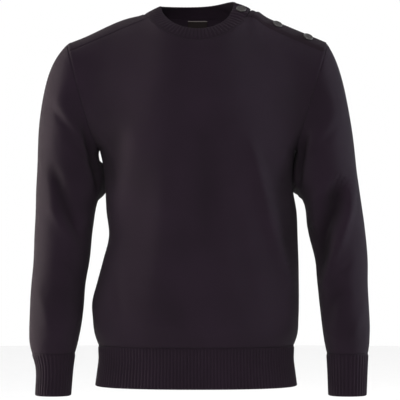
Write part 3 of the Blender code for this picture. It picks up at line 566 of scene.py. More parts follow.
BACK_FOLDS = (
    ("x1", "z1", "x2", "z2", "x3", "z3", "width", "height"),
    (0.000, -0.120, -0.006, -0.300, 0.004, -0.450, 0.026, -0.0040),
    (-0.100, -0.170, -0.120, -0.300, -0.155, -0.430, 0.022, 0.0060),
    (0.104, -0.180, 0.128, -0.320, 0.160, -0.470, 0.022, 0.0060),
    (-0.060, -0.420, -0.020, -0.455, 0.050, -0.430, 0.018, -0.0040),
    (0.190, -0.205, 0.166, -0.240, 0.132, -0.310, 0.0080, 0.0024),
    (-0.188, -0.215, -0.168, -0.240, -0.140, -0.290, 0.0075, 0.0022),
    (-0.180, -0.255, -0.168, -0.300, -0.160, -0.360, 0.0065, -0.0018),
    (0.056, -0.200, 0.066, -0.340, 0.082, -0.500, 0.0190, 0.0018),
    (-0.058, -0.250, -0.070, -0.380, -0.076, -0.540, 0.0170, -0.0016),
    (-0.140, -0.478, -0.080, -0.500, -0.030, -0.490, 0.0120, 0.0016),
    (0.020, -0.505, 0.080, -0.520, 0.150, -0.500, 0.0130, -0.0014),
    (-0.110, -0.566, -0.040, -0.580, 0.060, -0.572, 0.0120, 0.0012),
)
WAVES = (
    ("across", "up", "phase", "height"),
    (38.0, 9.0, 0.7, 0.00050),
    (-23.0, 31.0, 2.1, 0.00045),
    (61.0, -17.0, 4.0, 0.00025),
    (14.0, 58.0, 5.2, 0.00022),
)
print("folds:", len(FRONT_FOLDS) - 1, "in front,", len(BACK_FOLDS) - 1, "behind")

# %% [markdown]
# ## Raise the folds
#
# A fold's height at a point needs only the distance to its curve. All folds and waves are added up, eased to
# nothing at the seams, and each point moves that far along its own outward direction.

# %% Raise the folds
FOLD_POINTS = 33
FOLD_FADE = 0.3
FREE_EDGE = 0.035


def curve_points(row, names):
    """(1-t) squared first + 2 t (1-t) second + t squared third: a parabola drawn to its second point."""
    t = np.linspace(0.0, 1.0, FOLD_POINTS)[:, None]
    first, middle, last = (np.array([row[a], row[b]]) for a, b in names)
    return (1 - t) ** 2 * first + 2 * t * (1 - t) * middle + t**2 * last


def relief(flat, table, names):
    """Sum over the folds of height x fade at the ends x exp(-(distance / width) squared)."""
    found = columns(table)
    lift = np.zeros(flat.shape[:-1])
    for index in range(len(table) - 1):
        row = {name: values[index] for name, values in found.items()}
        line = curve_points(row, names)
        away = np.linalg.norm(flat[..., None, :] - line, axis=-1)
        along = away.argmin(axis=-1) / (len(line) - 1)
        bell = np.exp(-((away.min(axis=-1) / row["width"]) ** 2))
        lift += row["height"] * plateau(along, 1, FOLD_FADE) * bell
    return lift


def slow_waves(flat):
    """Sum of height x sin(across x + up z + phase): low waves of uneven length."""
    return sum(
        height * np.sin(across * flat[..., 0] + up * flat[..., 1] + phase)
        for across, up, phase, height in WAVES[1:]
    )


def edge_ease(grid, sides=True):
    """Product of eased distances to the edges: 0 at the edges of the grid, so seams stay where they are."""
    up, along = walked_down(grid, 0), walked_down(grid, 1)
    ease = plateau(up, up[-1], FREE_EDGE)
    return ease * plateau(along, along[:, -1:], FREE_EDGE) if sides else ease


def panel(face):
    """Level rows up to the underarm, then the upper part, both moved along their normals by folds and waves.

    The folds' heights come back as well, for the painted shade in the yarn's tone.
    """
    steps = (NECK_STEPS[face] + SHOULDER_STEPS) * COLUMN_SPLIT
    across = np.arange(-steps, steps + 1) / steps
    if face == "back":
        across = across[::-1]
    heights = np.linspace(HEM_SEAM, UNDERARM, LOWER_STEPS * LOWER_SPLIT + 1)
    lower = np.stack([body_row(face, across, height) for height in heights])
    grid = np.concatenate([lower, upper_panel(face, across, UPPER_STEPS[face] * UPPER_SPLIT)[1:]])
    flat = grid[..., [0, 2]]
    folds = FRONT_FOLDS if face == "front" else BACK_FOLDS
    lift = relief(flat, folds, (("x1", "z1"), ("x2", "z2"), ("x3", "z3"))) + slow_waves(flat)
    lift *= edge_ease(grid)
    return grid + normals(grid) * lift[..., None], lift


cloth = {}
folded = {}
for face in ("front", "back"):
    cloth[f"{face}_panel"], folded[f"{face}_panel"] = panel(face)
print({name: grid.shape[:2] for name, grid in cloth.items()})

# %% [markdown]
# ## Sleeves
#
# A set-in sleeve starts on the armhole's own points, turns down over the arm and narrows to the cuff. It is a
# tube whose level rings are ovals, joined to the armhole by cubic columns. The deep fold on the wearer's left
# forearm and the slanting creases round each elbow are what tells the two sleeves apart.

# %% Sleeves
SLEEVE_SECTIONS = (
    ("height", "right inner", "right outer", "left inner", "left outer", "fore", "aft"),
    (-0.3000, 0.1762, 0.2970, 0.1800, 0.2955, -0.060, 0.084),
    (-0.3120, 0.1768, 0.2978, 0.1812, 0.2972, -0.060, 0.084),
    (-0.3290, 0.1805, 0.2988, 0.1900, 0.2992, -0.060, 0.082),
    (-0.3515, 0.1880, 0.2995, 0.1985, 0.3020, -0.059, 0.078),
    (-0.3960, 0.1950, 0.3005, 0.2035, 0.3080, -0.059, 0.069),
    (-0.4550, 0.2010, 0.3020, 0.2185, 0.3130, -0.060, 0.058),
    (-0.4995, 0.2080, 0.3055, 0.2225, 0.3135, -0.062, 0.050),
    (-0.5440, 0.2120, 0.3080, 0.2270, 0.3145, -0.065, 0.042),
    (-0.5880, 0.2175, 0.3080, 0.2320, 0.3155, -0.069, 0.030),
    (-0.6130, 0.2230, 0.3060, 0.2365, 0.3140, -0.069, 0.018),
    (-0.6253, 0.2265, 0.3030, 0.2390, 0.3120, -0.067, 0.012),
)
HANDS = {-1: "right", 1: "left"}
SLEEVE_SQUARE = 2.15
SLEEVE_STARTS = (
    ("angle", "out", "y", "up", "reach"),
    (0, 0.80, 0.00, -0.60, 0.75),
    (60, 0.68, -0.12, -0.72, 0.85),
    (120, 0.70, -0.10, -0.70, 0.9),
    (180, 0.78, 0.00, -0.62, 0.9),
    (240, 0.70, 0.10, -0.70, 0.9),
    (300, 0.68, 0.12, -0.72, 0.85),
    (360, 0.80, 0.00, -0.60, 0.75),
)
SLEEVE_SWING = {-1: 0.86, 1: 0.50}
SLEEVE_FOLDS = {
    -1: (
        ("a1", "z1", "a2", "z2", "a3", "z3", "width", "height"),
        (150, -0.128, 75, -0.210, 25, -0.285, 0.016, 0.0050),
        (130, -0.262, 92, -0.350, 40, -0.445, 0.012, -0.0075),
        (56, -0.180, 32, -0.255, 20, -0.345, 0.013, -0.0125),
        (322, -0.268, 334, -0.300, 330, -0.352, 0.017, 0.0150),
        (20, -0.375, 60, -0.400, 95, -0.420, 0.014, 0.0030),
        (300, -0.330, 265, -0.400, 230, -0.440, 0.018, -0.0050),
        (320, -0.300, 280, -0.260, 220, -0.220, 0.020, 0.0050),
        (138, -0.165, 84, -0.222, 34, -0.262, 0.0075, -0.0036),
        (110, -0.205, 62, -0.262, 22, -0.305, 0.0075, -0.0024),
        (128, -0.340, 82, -0.402, 30, -0.452, 0.0090, 0.0026),
        (100, -0.440, 60, -0.478, 22, -0.505, 0.0090, -0.0022),
        (150, -0.480, 110, -0.540, 90, -0.600, 0.0120, 0.0016),
        (20, -0.560, 60, -0.585, 120, -0.600, 0.0080, 0.0014),
        (330, -0.385, 300, -0.440, 262, -0.470, 0.0090, 0.0026),
        (300, -0.470, 262, -0.520, 225, -0.560, 0.0100, -0.0020),
    ),
    1: (
        ("a1", "z1", "a2", "z2", "a3", "z3", "width", "height"),
        (118, -0.290, 78, -0.400, -4, -0.488, 0.018, -0.0150),
        (150, -0.278, 108, -0.405, 26, -0.520, 0.011, 0.0080),
        (46, -0.190, 26, -0.265, 20, -0.335, 0.012, -0.0110),
        (320, -0.235, 336, -0.290, 332, -0.352, 0.018, 0.0150),
        (92, -0.495, 60, -0.530, 30, -0.575, 0.016, -0.0045),
        (150, -0.140, 95, -0.215, 40, -0.280, 0.020, 0.0040),
        (10, -0.380, 20, -0.400, 30, -0.425, 0.014, -0.0040),
        (300, -0.330, 262, -0.400, 225, -0.450, 0.018, -0.0055),
        (320, -0.300, 280, -0.260, 220, -0.220, 0.020, 0.0050),
        (132, -0.190, 84, -0.245, 34, -0.285, 0.0080, -0.0024),
        (112, -0.292, 66, -0.336, 24, -0.366, 0.0085, 0.0026),
        (104, -0.452, 66, -0.486, 26, -0.506, 0.0080, 0.0024),
        (118, -0.446, 76, -0.482, 34, -0.512, 0.0070, -0.0022),
        (150, -0.520, 120, -0.560, 96, -0.606, 0.0110, 0.0016),
        (16, -0.575, 52, -0.596, 110, -0.604, 0.0080, 0.0014),
        (334, -0.380, 300, -0.436, 258, -0.476, 0.0090, 0.0028),
        (296, -0.490, 262, -0.535, 230, -0.570, 0.0100, -0.0020),
    ),
}
print("sleeve folds:", {HANDS[side]: len(table) - 1 for side, table in SLEEVE_FOLDS.items()})

# %% [markdown]
# ## Raise the sleeves
#
# A sleeve's folds are placed by angle and height: 0 degrees is the inside of the arm, 90 the front, 180 the
# outside and 270 the back. The flat map is repeated once to each side, so that a fold may run across 0.

# %% Raise the sleeves
SLEEVE_RADIUS = 0.055
SLEEVE_UPPER_STEPS = 7
SLEEVE_LOWER_STEPS = 13
SLEEVE_SPLIT = 8


def tube_row(table, side, angles, height):
    """One level ring: x = side (middle - half cos a), y = centre - depth sin a, cos and sin of the oval."""
    sizes = section(table, np.array(height))
    inward, fore = oval(angles, SLEEVE_SQUARE)
    inner, outer = (sizes[f"{HANDS[side]} {edge}"] for edge in ("inner", "outer"))
    middle = (inner + outer) / 2
    half = (outer - inner) / 2
    centre = (sizes["fore"] + sizes["aft"]) / 2
    depth = (sizes["aft"] - sizes["fore"]) / 2
    x = side * (middle - half * inward)
    y = centre - depth * fore
    return np.stack([x, y, np.full_like(x, height)], axis=-1)


def in_metres(table):
    """A table of folds with its angles turned into lengths round the sleeve: radius x angle in radians."""
    names, *rows = table
    scale = [SLEEVE_RADIUS * math.pi / 180 if name.startswith("a") else 1.0 for name in names]
    return (names, *[tuple(np.array(row) * scale) for row in rows])


def sleeve(side, hole):
    """Cubic columns from the armhole to the first free ring, then level rings to the cuff, with folds."""
    closed = np.concatenate([hole, hole[:1]])
    walked = np.cumsum(np.linalg.norm(np.diff(closed, axis=0), axis=1))
    angles = 2 * math.pi * np.concatenate([[0.0], walked[:-1]]) / walked[-1]
    end = tube_row(SLEEVE_SECTIONS, side, angles, SLEEVE_FREE)
    slope = (end - tube_row(SLEEVE_SECTIONS, side, angles, SLEEVE_FREE - SLOPE_NUDGE)) / SLOPE_NUDGE
    chord = np.linalg.norm(end - hole, axis=1, keepdims=True)
    ways = columns(SLEEVE_STARTS)
    knots = ways.pop("angle")
    found = {name: np.interp(np.degrees(angles), knots, values) for name, values in ways.items()}
    swing = 1 + (SLEEVE_SWING[side] - 1) * np.sin(angles / 2) ** 2
    leave = unit(np.stack([side * found["out"] * swing, found["y"], found["up"]], axis=-1))
    shares = np.linspace(0.0, 1.0, SLEEVE_UPPER_STEPS * SLEEVE_SPLIT + 1)
    upper = bridge(hole, leave * chord * found["reach"][:, None], end, -slope * chord, shares)
    heights = np.linspace(SLEEVE_FREE, CUFF_SEAM, SLEEVE_LOWER_STEPS * SLEEVE_SPLIT + 1)[1:]
    lower = np.stack([tube_row(SLEEVE_SECTIONS, side, angles, height) for height in heights])
    grid = np.concatenate([upper, lower])
    turned = np.broadcast_to(angles, grid.shape[:2])
    lift = np.zeros(grid.shape[:2])
    for turn in (-2 * math.pi, 0.0, 2 * math.pi):
        flat = np.stack([(turned + turn) * SLEEVE_RADIUS, grid[..., 2]], axis=-1)
        lift += relief(flat, in_metres(SLEEVE_FOLDS[side]), (("a1", "z1"), ("a2", "z2"), ("a3", "z3")))
    lift += slow_waves(grid[..., [0, 2]] + grid[..., [1, 1]])
    lift *= edge_ease(grid, sides=False)
    return grid - side * normals(grid, ring=True) * lift[..., None], lift


ROW = LOWER_STEPS * LOWER_SPLIT
fore_edge = {1: cloth["front_panel"][ROW:, -1], -1: cloth["front_panel"][ROW:, 0]}
rear_edge = {1: cloth["back_panel"][ROW:, 0], -1: cloth["back_panel"][ROW:, -1]}
for side, name in ((1, "sleeve_left"), (-1, "sleeve_right")):
    hole = np.concatenate([fore_edge[side], rear_edge[side][::-1][1:-1]])
    cloth[name], folded[name] = sleeve(side, hole)
print({name: grid.shape[:2] for name, grid in cloth.items()})

# %% [markdown]
# ## Where the pieces meet
#
# Sewn pieces share the points of their seam. If each had its own outward direction there, their walls would
# cross or gape. So every seam point gets one direction, the mean of its pieces' directions, made longer where
# the pieces meet at an angle, as a mitre is.

# %% Shared directions at the seams
SHORTEST_LEAN = 0.72
PANELS = ("front_panel", "back_panel")


def neck_points():
    """The neck seam's points from the middle of the front round the wearer's left and back to the front."""
    shoulder = SHOULDER_STEPS * COLUMN_SPLIT
    middle = NECK_STEPS["front"] * COLUMN_SPLIT
    fore = cloth["front_panel"][-1][shoulder:-shoulder]
    rear = cloth["back_panel"][-1][shoulder:-shoulder]
    return np.concatenate([fore[middle:-1], rear[:-1], fore[:middle]])


def neck_angles(split):
    """The angle of each of those points."""
    fore = np.linspace(0.0, SEAM_ANGLE, NECK_STEPS["front"] * split + 1)
    rear = np.linspace(SEAM_ANGLE, 360.0 - SEAM_ANGLE, 2 * NECK_STEPS["back"] * split + 1)
    return np.concatenate([fore[:-1], rear[:-1], 360.0 - fore[::-1][:-1]])


def share_seams(middles, outwards):
    """Shared vector = unit mean of the pieces' vectors / mean cosine between them and it."""
    names = list(middles)
    points = np.concatenate([middles[name].reshape(-1, 3) for name in names])
    vectors = np.concatenate([outwards[name].reshape(-1, 3) for name in names])
    panels = np.concatenate([np.full(len(middles[name].reshape(-1, 3)), name in PANELS) for name in names])
    _, index = np.unique(np.round(points * 1e6).astype(int), axis=0, return_inverse=True)
    index = index.reshape(-1)
    total = np.zeros((index.max() + 1, 3))
    for group in (panels, ~panels):
        share = np.zeros_like(total)
        np.add.at(share, index[group], vectors[group])
        length = np.linalg.norm(share, axis=1, keepdims=True)
        total += share / np.where(length > 0, length, 1.0)
    mean = unit(total)
    lean = np.zeros(len(mean))
    np.add.at(lean, index, (vectors * mean[index]).sum(axis=1))
    lean /= np.bincount(index)
    shared = (mean / np.clip(lean, SHORTEST_LEAN, 1.0)[:, None])[index]
    sizes = [middles[name].shape for name in names]
    ends = np.cumsum([rows * across for rows, across, _ in sizes])[:-1]
    return {name: part.reshape(size) for name, part, size in zip(names, np.split(shared, ends), sizes)}


def level(vectors):
    """The same vectors made level, for a seam that lies in a level plane."""
    flat = vectors.copy()
    flat[..., 2] = 0.0
    return unit(flat)


cloth["collar"] = np.stack([neck_points(), collar_edge(neck_angles(COLUMN_SPLIT))])
outward = {
    "front_panel": normals(cloth["front_panel"]),
    "back_panel": normals(cloth["back_panel"]),
    "sleeve_left": -normals(cloth["sleeve_left"], ring=True),
    "sleeve_right": normals(cloth["sleeve_right"], ring=True),
    "collar": normals(cloth["collar"], ring=True),
}
outward = share_seams(cloth, outward)
for name in PANELS:
    outward[name][0] = level(outward[name][0])
for name in ("sleeve_left", "sleeve_right"):
    outward[name][-1] = level(outward[name][-1])
print("directions shared on", len(cloth), "pieces")

# %% [markdown]
# ## Cloth as a thin wall
#
# Every cloth piece becomes one closed shell: an outer skin, an inner skin and narrow faces that close its
# edges. Its UV map is in metres, walked along the rows and the columns, so that stitches keep their size
# wherever the cloth turns. Two attributes go with the points, and the yarn's materials read both as painted
# shade. One is how far a point is from a seam, and the yarn is painted darker close to it. The other, the
# rise, is 1 on top of a rib or on open cloth, and less down in a fold, where the yarn is painted darker.

# %% One closed shell
# The inner skin's rise is never lower than this, so the painted shade of the folds stays light inside.
INSIDE_RISE = 0.7


def area_of(made):
    """Half of a closed shell's surface, in square metres."""
    return sum(face.area for face in made.data.polygons) / 2


def signed_volume(mesh):
    """The volume inside a closed mesh, negative where its faces point inwards."""
    shape = bmesh.new()
    shape.from_mesh(mesh)
    volume = shape.calc_volume(signed=True)
    shape.free()
    return volume


def grid_quads(ids):
    """Four corners of each cell, anticlockwise as seen from outside."""
    return np.stack([ids[:-1, :-1], ids[:-1, 1:], ids[1:, 1:], ids[1:, :-1]], axis=-1).reshape(-1, 4)


def shell(name, outer, inner, uv, seam, rise, ring=False, rows_down=False):
    """A closed wall between two grids of the same size; uv has one more column where the grid is a ring."""
    if rows_down:
        outer, inner, uv, seam, rise = (grid[::-1] for grid in (outer, inner, uv, seam, rise))
    rows, across = outer.shape[:2]
    ids = np.arange(rows * across).reshape(rows, across)
    if ring:
        ids = np.hstack([ids, ids[:, :1]])
    spots = np.arange(uv.shape[0] * uv.shape[1]).reshape(uv.shape[:2])
    back = rows * across
    faces = [grid_quads(ids), grid_quads(ids)[:, ::-1] + back]
    corners = [grid_quads(spots), grid_quads(spots)[:, ::-1]]
    for line, spot in ((ids[0][::-1], spots[0][::-1]), (ids[-1], spots[-1])):
        faces.append(grid_quads(np.stack([line, line + back])))
        corners.append(grid_quads(np.stack([spot, spot])))
    if not ring:
        for line, spot in ((ids[:, 0], spots[:, 0]), (ids[::-1, -1], spots[::-1, -1])):
            faces.append(grid_quads(np.stack([line, line + back])))
            corners.append(grid_quads(np.stack([spot, spot])))
    faces = np.concatenate(faces)
    corners = np.concatenate(corners).reshape(-1)
    points = np.concatenate([outer.reshape(-1, 3), inner.reshape(-1, 3)])
    mesh = bpy.data.meshes.new(name)
    mesh.from_pydata(points, [], faces)
    layer = mesh.uv_layers.new(name="cloth")
    layer.uv.foreach_set("vector", uv.reshape(-1, 2)[corners].astype(np.float32).reshape(-1))
    # Both attributes carry painted shade: the yarn is darker close to a seam and where the rise is low.
    for title, skins in (("seam", (seam, seam)), ("rise", (rise, np.maximum(rise, INSIDE_RISE)))):
        data = mesh.attributes.new(title, "FLOAT", "POINT").data
        data.foreach_set("value", np.stack(skins).reshape(-1).astype(np.float32))
    mesh.shade_smooth()
    if signed_volume(mesh) < 0:
        mesh.flip_normals()
    made = placed(name, mesh)
    print(name, 2 * len(faces), "triangles,", round(area_of(made), 4), "m2")
    return made


print("shell maker ready")

# %% [markdown]
# ## Lengths over the cloth
#
# The UV map and the distance to the seams are both lengths walked over the cloth's middle grid.

# %% Lengths over the cloth
def walked_uv(grid, ring=False):
    """u = length along the row from its middle column, v = length along the column from the first row."""
    if ring:
        grid = np.concatenate([grid, grid[:, :1]], axis=1)
    u = walked_down(grid, 1)
    u = u - u[:, u.shape[1] // 2, None]
    return np.stack([u, walked_down(grid, 0)], axis=-1)


def seam_distance(grid, ring=False):
    """The shortest of the lengths walked to the grid's edges; on a ring the first column is the seam."""
    closed = np.concatenate([grid, grid[:, :1]], axis=1) if ring else grid
    up = walked_down(closed, 0)
    along = walked_down(closed, 1)
    found = np.minimum(np.minimum(up, up[-1] - up), np.minimum(along, along[:, -1:] - along))
    return found[:, :grid.shape[1]]


pieces = {}
print("walls:", WALL * 1000, "mm in the plain cloth and", RIB_WALL * 1000, "mm in the ribs")

# %% [markdown]
# ## Wall of the front, back and sleeves
#
# The outer skin dips into a fine groove at each seam, which is how a linked seam reads from a distance. Round
# the armholes the body's edge is doubled under, and shows as a slightly raised band about 6 mm wide, so the
# outer skin rises there a little. The depth of the folds goes to the yarn's tone as painted shade: the
# deeper the fold, the darker the colour.

# %% Plain knit pieces
GROOVE_DEPTH = 0.28
GROOVE_WIDTH = 0.0015
ARM_BAND = 0.0058
ARM_BAND_SOFT = 0.0016
ARM_BAND_RISE = 0.0004
# Painted shade in the folds: where a fold is as deep as the first number, the rise falls by the second.
DEEP_FOLD = 0.012
FOLD_PAINTED_SHADE = 2.5


def armhole_band(grid):
    """Rise x eased plateau between the armhole and the band's width, above the underarm only."""
    along = walked_down(grid, 1)
    away = np.minimum(along, along[:, -1:] - along)
    above = smooth((np.arange(len(grid)) - ROW) / UPPER_SPLIT)
    return ARM_BAND_RISE * plateau(away, ARM_BAND + ARM_BAND_SOFT, ARM_BAND_SOFT) * above[:, None]


# The rise given to each shell below is painted shade: lower, so darker, where a fold sinks.
for name in ("front_panel", "back_panel", "sleeve_left", "sleeve_right"):
    grid = cloth[name]
    ring = name.startswith("sleeve")
    seam = seam_distance(grid, ring)
    groove = 1 - GROOVE_DEPTH * np.exp(-((seam / GROOVE_WIDTH) ** 2))
    band = np.zeros(seam.shape) if ring else armhole_band(grid)
    outer = grid + outward[name] * (WALL / 2 * groove + band)[..., None]
    inner = grid - outward[name] * WALL / 2
    pieces[name] = shell(
        f"{name}_knit", outer, inner, walked_uv(grid, ring), seam,
        1 - FOLD_PAINTED_SHADE * np.clip(-folded[name] / DEEP_FOLD, 0.0, 1.0), ring, rows_down=name == "sleeve_left",
    )

# %% [markdown]
# ## Ribbed hem and cuffs
#
# Ribbing is made of raised columns of stitches, two by two, with two sunk ones between. It is what makes hem
# and cuffs cling, so it has to be real relief here. Each rib is one wave of a cosine across the band. They
# start softly under the seam, and the lower edge of the band is rounded, as the doubled edge of knitting is.

# %% Ribbed bands
HEM_FLARE = (("share", "out"), (0.0, 0.0), (0.35, -0.0010), (1.0, 0.0055))
HEM_RIBS = 78
CUFF_RIBS = 36
RIB_POINTS = 8
WALE = 0.0016
COURSE = 0.0013
RIB_START = 0.006
EDGE_ROUND = 0.0018
EDGE_LEAST = 0.02
BAND_SHARES = np.array([
    0.0, 0.012, 0.03, 0.06, 0.10, 0.18, 0.30, 0.42, 0.54, 0.66, 0.78, 0.88, 0.95, 0.976, 0.99, 1.0,
])
CUFF_SECTIONS = (
    ("height", "right inner", "right outer", "left inner", "left outer", "fore", "aft"),
    (-0.6253, 0.2265, 0.3030, 0.2390, 0.3120, -0.067, 0.012),
    (-0.6430, 0.2290, 0.2970, 0.2400, 0.3110, -0.065, 0.006),
    (-0.7030, 0.2345, 0.2960, 0.2425, 0.3085, -0.063, 0.003),
)


def rounding(left):
    """sqrt(1 - (1 - left / radius) squared): the half thickness of a wall this far from its free edge."""
    bare = 1 - np.clip(left / EDGE_ROUND, 0.0, 1.0)
    return np.sqrt(np.maximum(1 - bare * bare, EDGE_LEAST))


def ribbed_band(name, middle, out, ribs, start=0.15, ring=False, rows_down=True, height=RIB_HEIGHT):
    """Outer skin = middle + out (half wall + height (1 - cos 2 pi ribs) / 2 x ease in), inner skin plain.
    The rise goes to the yarn too: painted shade in the troughs and near the ends, painted highlight on the
    crests.
    """
    walked = walked_down(middle, 0)
    edge = rounding(walked[-1] - walked)
    begin = start + (1 - start) * smooth(walked / RIB_START)
    rise = (0.5 - 0.5 * np.cos(2 * math.pi * ribs))[None, :] * begin * edge
    outer = middle + out * (RIB_WALL / 2 * edge + height * rise)[..., None]
    inner = middle - out * (RIB_WALL / 2 * edge)[..., None]
    if ring:
        ribs = np.append(ribs, round(ribs[-1]))
    u = np.broadcast_to(4 * WALE * ribs, (len(middle), len(ribs)))
    v = walked if not ring else np.hstack([walked, walked[:, :1]])
    return shell(name, outer, inner, np.stack([u, v], axis=-1), walked, rise, ring, rows_down)


print("a rib is", 4 * WALE * 1000, "mm wide, laid flat")

# %% [markdown]
# ## Knit the hem and the cuffs
#
# The hem's rows follow the panel's lowest row and flare out a little. The cuffs are rings that narrow below
# the sleeve, so the sleeve bulges over them as it does on a wrist.

# %% Hem and cuffs
def hem_band(face):
    """Rows under the panel's lowest row, each moved level outwards by the flare at its share of the way."""
    ribs = np.linspace(0.0, HEM_RIBS, HEM_RIBS * RIB_POINTS + 1)
    across = ribs / HEM_RIBS * 2 - 1
    if face == "back":
        across = across[::-1]
    line = body_row(face, across, HEM_SEAM)
    along = np.gradient(line, axis=0)
    away = unit(np.stack([along[:, 1], -along[:, 0], np.zeros(len(line))], axis=-1))
    away[[0, -1]] = [[np.sign(across[0]), 0, 0], [np.sign(across[-1]), 0, 0]]
    flare = columns(HEM_FLARE)
    rows = line + away * np.interp(BAND_SHARES, flare["share"], flare["out"])[:, None, None]
    rows[..., 2] = (HEM_SEAM + (HEM_END - HEM_SEAM) * BAND_SHARES)[:, None]
    return ribbed_band(f"hem_band_{face}_ribbing", rows, np.broadcast_to(away, rows.shape), ribs)


def cuff(side, name):
    """Level rings of the cuff's table from its seam to its end."""
    ribs = np.arange(CUFF_RIBS * RIB_POINTS) / RIB_POINTS
    seam, *_, end = columns(CUFF_SECTIONS)["height"]
    angles = 2 * math.pi * ribs / CUFF_RIBS
    heights = seam + (end - seam) * BAND_SHARES
    rings = np.stack([tube_row(CUFF_SECTIONS, side, angles, height) for height in heights])
    out = level(-side * normals(rings, ring=True))
    return ribbed_band(f"{name}_ribbing", rings, out, ribs, ring=True)


for face in ("front", "back"):
    pieces[f"hem_band_{face}"] = hem_band(face)
pieces["cuff_left"] = cuff(1, "cuff_left")
pieces["cuff_right"] = cuff(-1, "cuff_right")

# %% [markdown]
# ## Collar
#
# The crew collar is a narrow ribbed band that stands up from the neck seam. It is open at the wearer's left:
# its front end laps over its rear end, and a button holds them together. The band leans inwards as it rises,
# and here it also bulges a little between the seam and its edge, as a soft doubled rib does. Its free edge
# rises over the rear end in good time, but the seam stays down on the neckline until that end lies under it.

# %% Collar
COLLAR_SPLIT = 5
LAP_LIFT = 0.0030
LAP_START = 56.0
LAP_UNDER = 68.0
LAP_END = 87.0
SEAM_LAP_START = 63.0
SEAM_LAP_FULL = 71.0
SEAM_LAP_SHARE = 0.6
COLLAR_BLEND = 0.2
COLLAR_BULGE = 0.0008
COLLAR_RIB_HEIGHT = 0.0009
COLLAR_RIB_EVERY = 2
COLLAR_RIB_POINTS = 8
COLLAR_SHARES = np.array([
    0.0, 0.03, 0.08, 0.15, 0.25, 0.36, 0.48, 0.60, 0.71, 0.81, 0.89, 0.94, 0.975, 0.99, 1.0,
])


def turns(degrees):
    """The same angles a turn before, in this turn and a turn after."""
    return np.concatenate([degrees - 360.0, degrees, degrees + 360.0])


def collar_grid(degrees, shares):
    """Straight lines from the neck seam to the collar's edge + bulge x 4 s (1 - s) + the lap's lift."""
    knots = turns(neck_angles(COLUMN_SPLIT))
    base, out = (read_off(degrees, knots, np.tile(grid["collar"][0], (3, 1))) for grid in (cloth, outward))
    edge = collar_edge(degrees)
    t = shares[:, None, None]
    rows = base * (1 - t) + edge * t
    true = normals(rows)
    blend = 1 - smooth(t / COLLAR_BLEND)
    true = out * blend + true * (1 - blend)
    free = smooth((degrees - LAP_START) / (LAP_UNDER - 1.0 - LAP_START))
    sewn = smooth((degrees - SEAM_LAP_START) / (SEAM_LAP_FULL - SEAM_LAP_START))
    lift = LAP_LIFT * (sewn + (free - sewn) * smooth(shares[:, None] / SEAM_LAP_SHARE))
    bulge = COLLAR_BULGE * 4 * shares * (1 - shares)
    return rows + true * (lift + bulge[:, None])[..., None], true


knots = turns(neck_angles(1))
coarse = knots[(knots > LAP_UNDER - 360.0) & (knots < LAP_END)]
coarse = np.concatenate([[LAP_UNDER - 360.0], coarse, [LAP_END]])
rib_count = (len(coarse) - 1) * COLLAR_SPLIT / COLLAR_RIB_EVERY
collar_ribs = np.linspace(0.0, rib_count, round(rib_count * COLLAR_RIB_POINTS) + 1)
collar_degrees = np.interp(collar_ribs * COLLAR_RIB_EVERY / COLLAR_SPLIT, np.arange(len(coarse)), coarse)
collar_rows, collar_out = collar_grid(collar_degrees, COLLAR_SHARES)
pieces["collar"] = ribbed_band(
    "collar_ribbing", collar_rows, collar_out, collar_ribs,
    start=0.1, rows_down=False, height=COLLAR_RIB_HEIGHT,
)

# %% [markdown]
# ## Button band
#
# On the wearer's left shoulder the front ends in a narrow band that laps back over the shoulder and buttons
# down. It is a strip whose points are the panels' own points moved outwards by their normals, so it lies on
# the shoulder at every place. Its front edge is linked to the front, so the strip sinks into it there. The
# other edges are free and rounded.

# %% Button band
BAND_WALL = 0.0022
BAND_CLEAR = 0.0009
BAND_WIDTH = 0.028
BAND_LAP = 0.004
BAND_NECK_SHARE = 0.05
BAND_ARM_SHARE = 0.985
BAND_STEPS = 12
BAND_SPLIT = 10
BAND_MERGE = 0.009
BAND_SHOWS = 0.0002
BUTTON_ROW_BACK = 0.014
FINE_STEPS = 120


def down_columns(grid, distances):
    """Points at the given lengths from the top of each column of a grid."""
    lines = grid[::-1].transpose(1, 0, 2)
    return np.stack([read_off(distances, walked_down(line, 0), line) for line in lines], axis=1)


band_shares = np.linspace(BAND_NECK_SHARE, BAND_ARM_SHARE, BAND_STEPS * BAND_SPLIT + 1)
band_fore = BAND_LAP - np.array([0.0, 0.0002, 0.0006, 0.0012, 0.0020, 0.0030])
band_rear = np.concatenate([np.linspace(0.0, 0.0260, 27), [0.0268, 0.0274, 0.0278, BAND_WIDTH]])
band_rows = []
for face, distances in (("front", band_fore), ("back", band_rear)):
    neck = neck_share(face)
    fine = upper_panel(face, neck + (1 - neck) * band_shares, FINE_STEPS)
    band_rows.append(down_columns(fine, distances))
band_middle = np.concatenate(band_rows)
band_out = normals(band_middle)
from_front = walked_down(band_middle, 0)
sunk = (BAND_WALL + BAND_CLEAR - BAND_SHOWS) * (1 - smooth(from_front / BAND_MERGE))
band_middle = band_middle + band_out * (WALL / 2 + BAND_CLEAR + BAND_WALL / 2 - sunk)[..., None]
band_seam = seam_distance(band_middle)
band_half = band_out * (BAND_WALL / 2 * rounding(band_seam))[..., None]
pieces["shoulder_placket"] = shell(
    "shoulder_placket_knit", band_middle + band_half, band_middle - band_half,
    walked_uv(band_middle), band_seam, np.ones(band_seam.shape),
)
print("band: rows and columns", band_middle.shape[:2])

# %% [markdown]
# ## Buttons
#
# The three buttons are round and dished, with a raised rim and four holes, and two bars of thread cross the
# holes. A button is a profile turned about its axis, and a bar of thread is a row of rings along an arc. Both
# are closed at their ends by one point each.

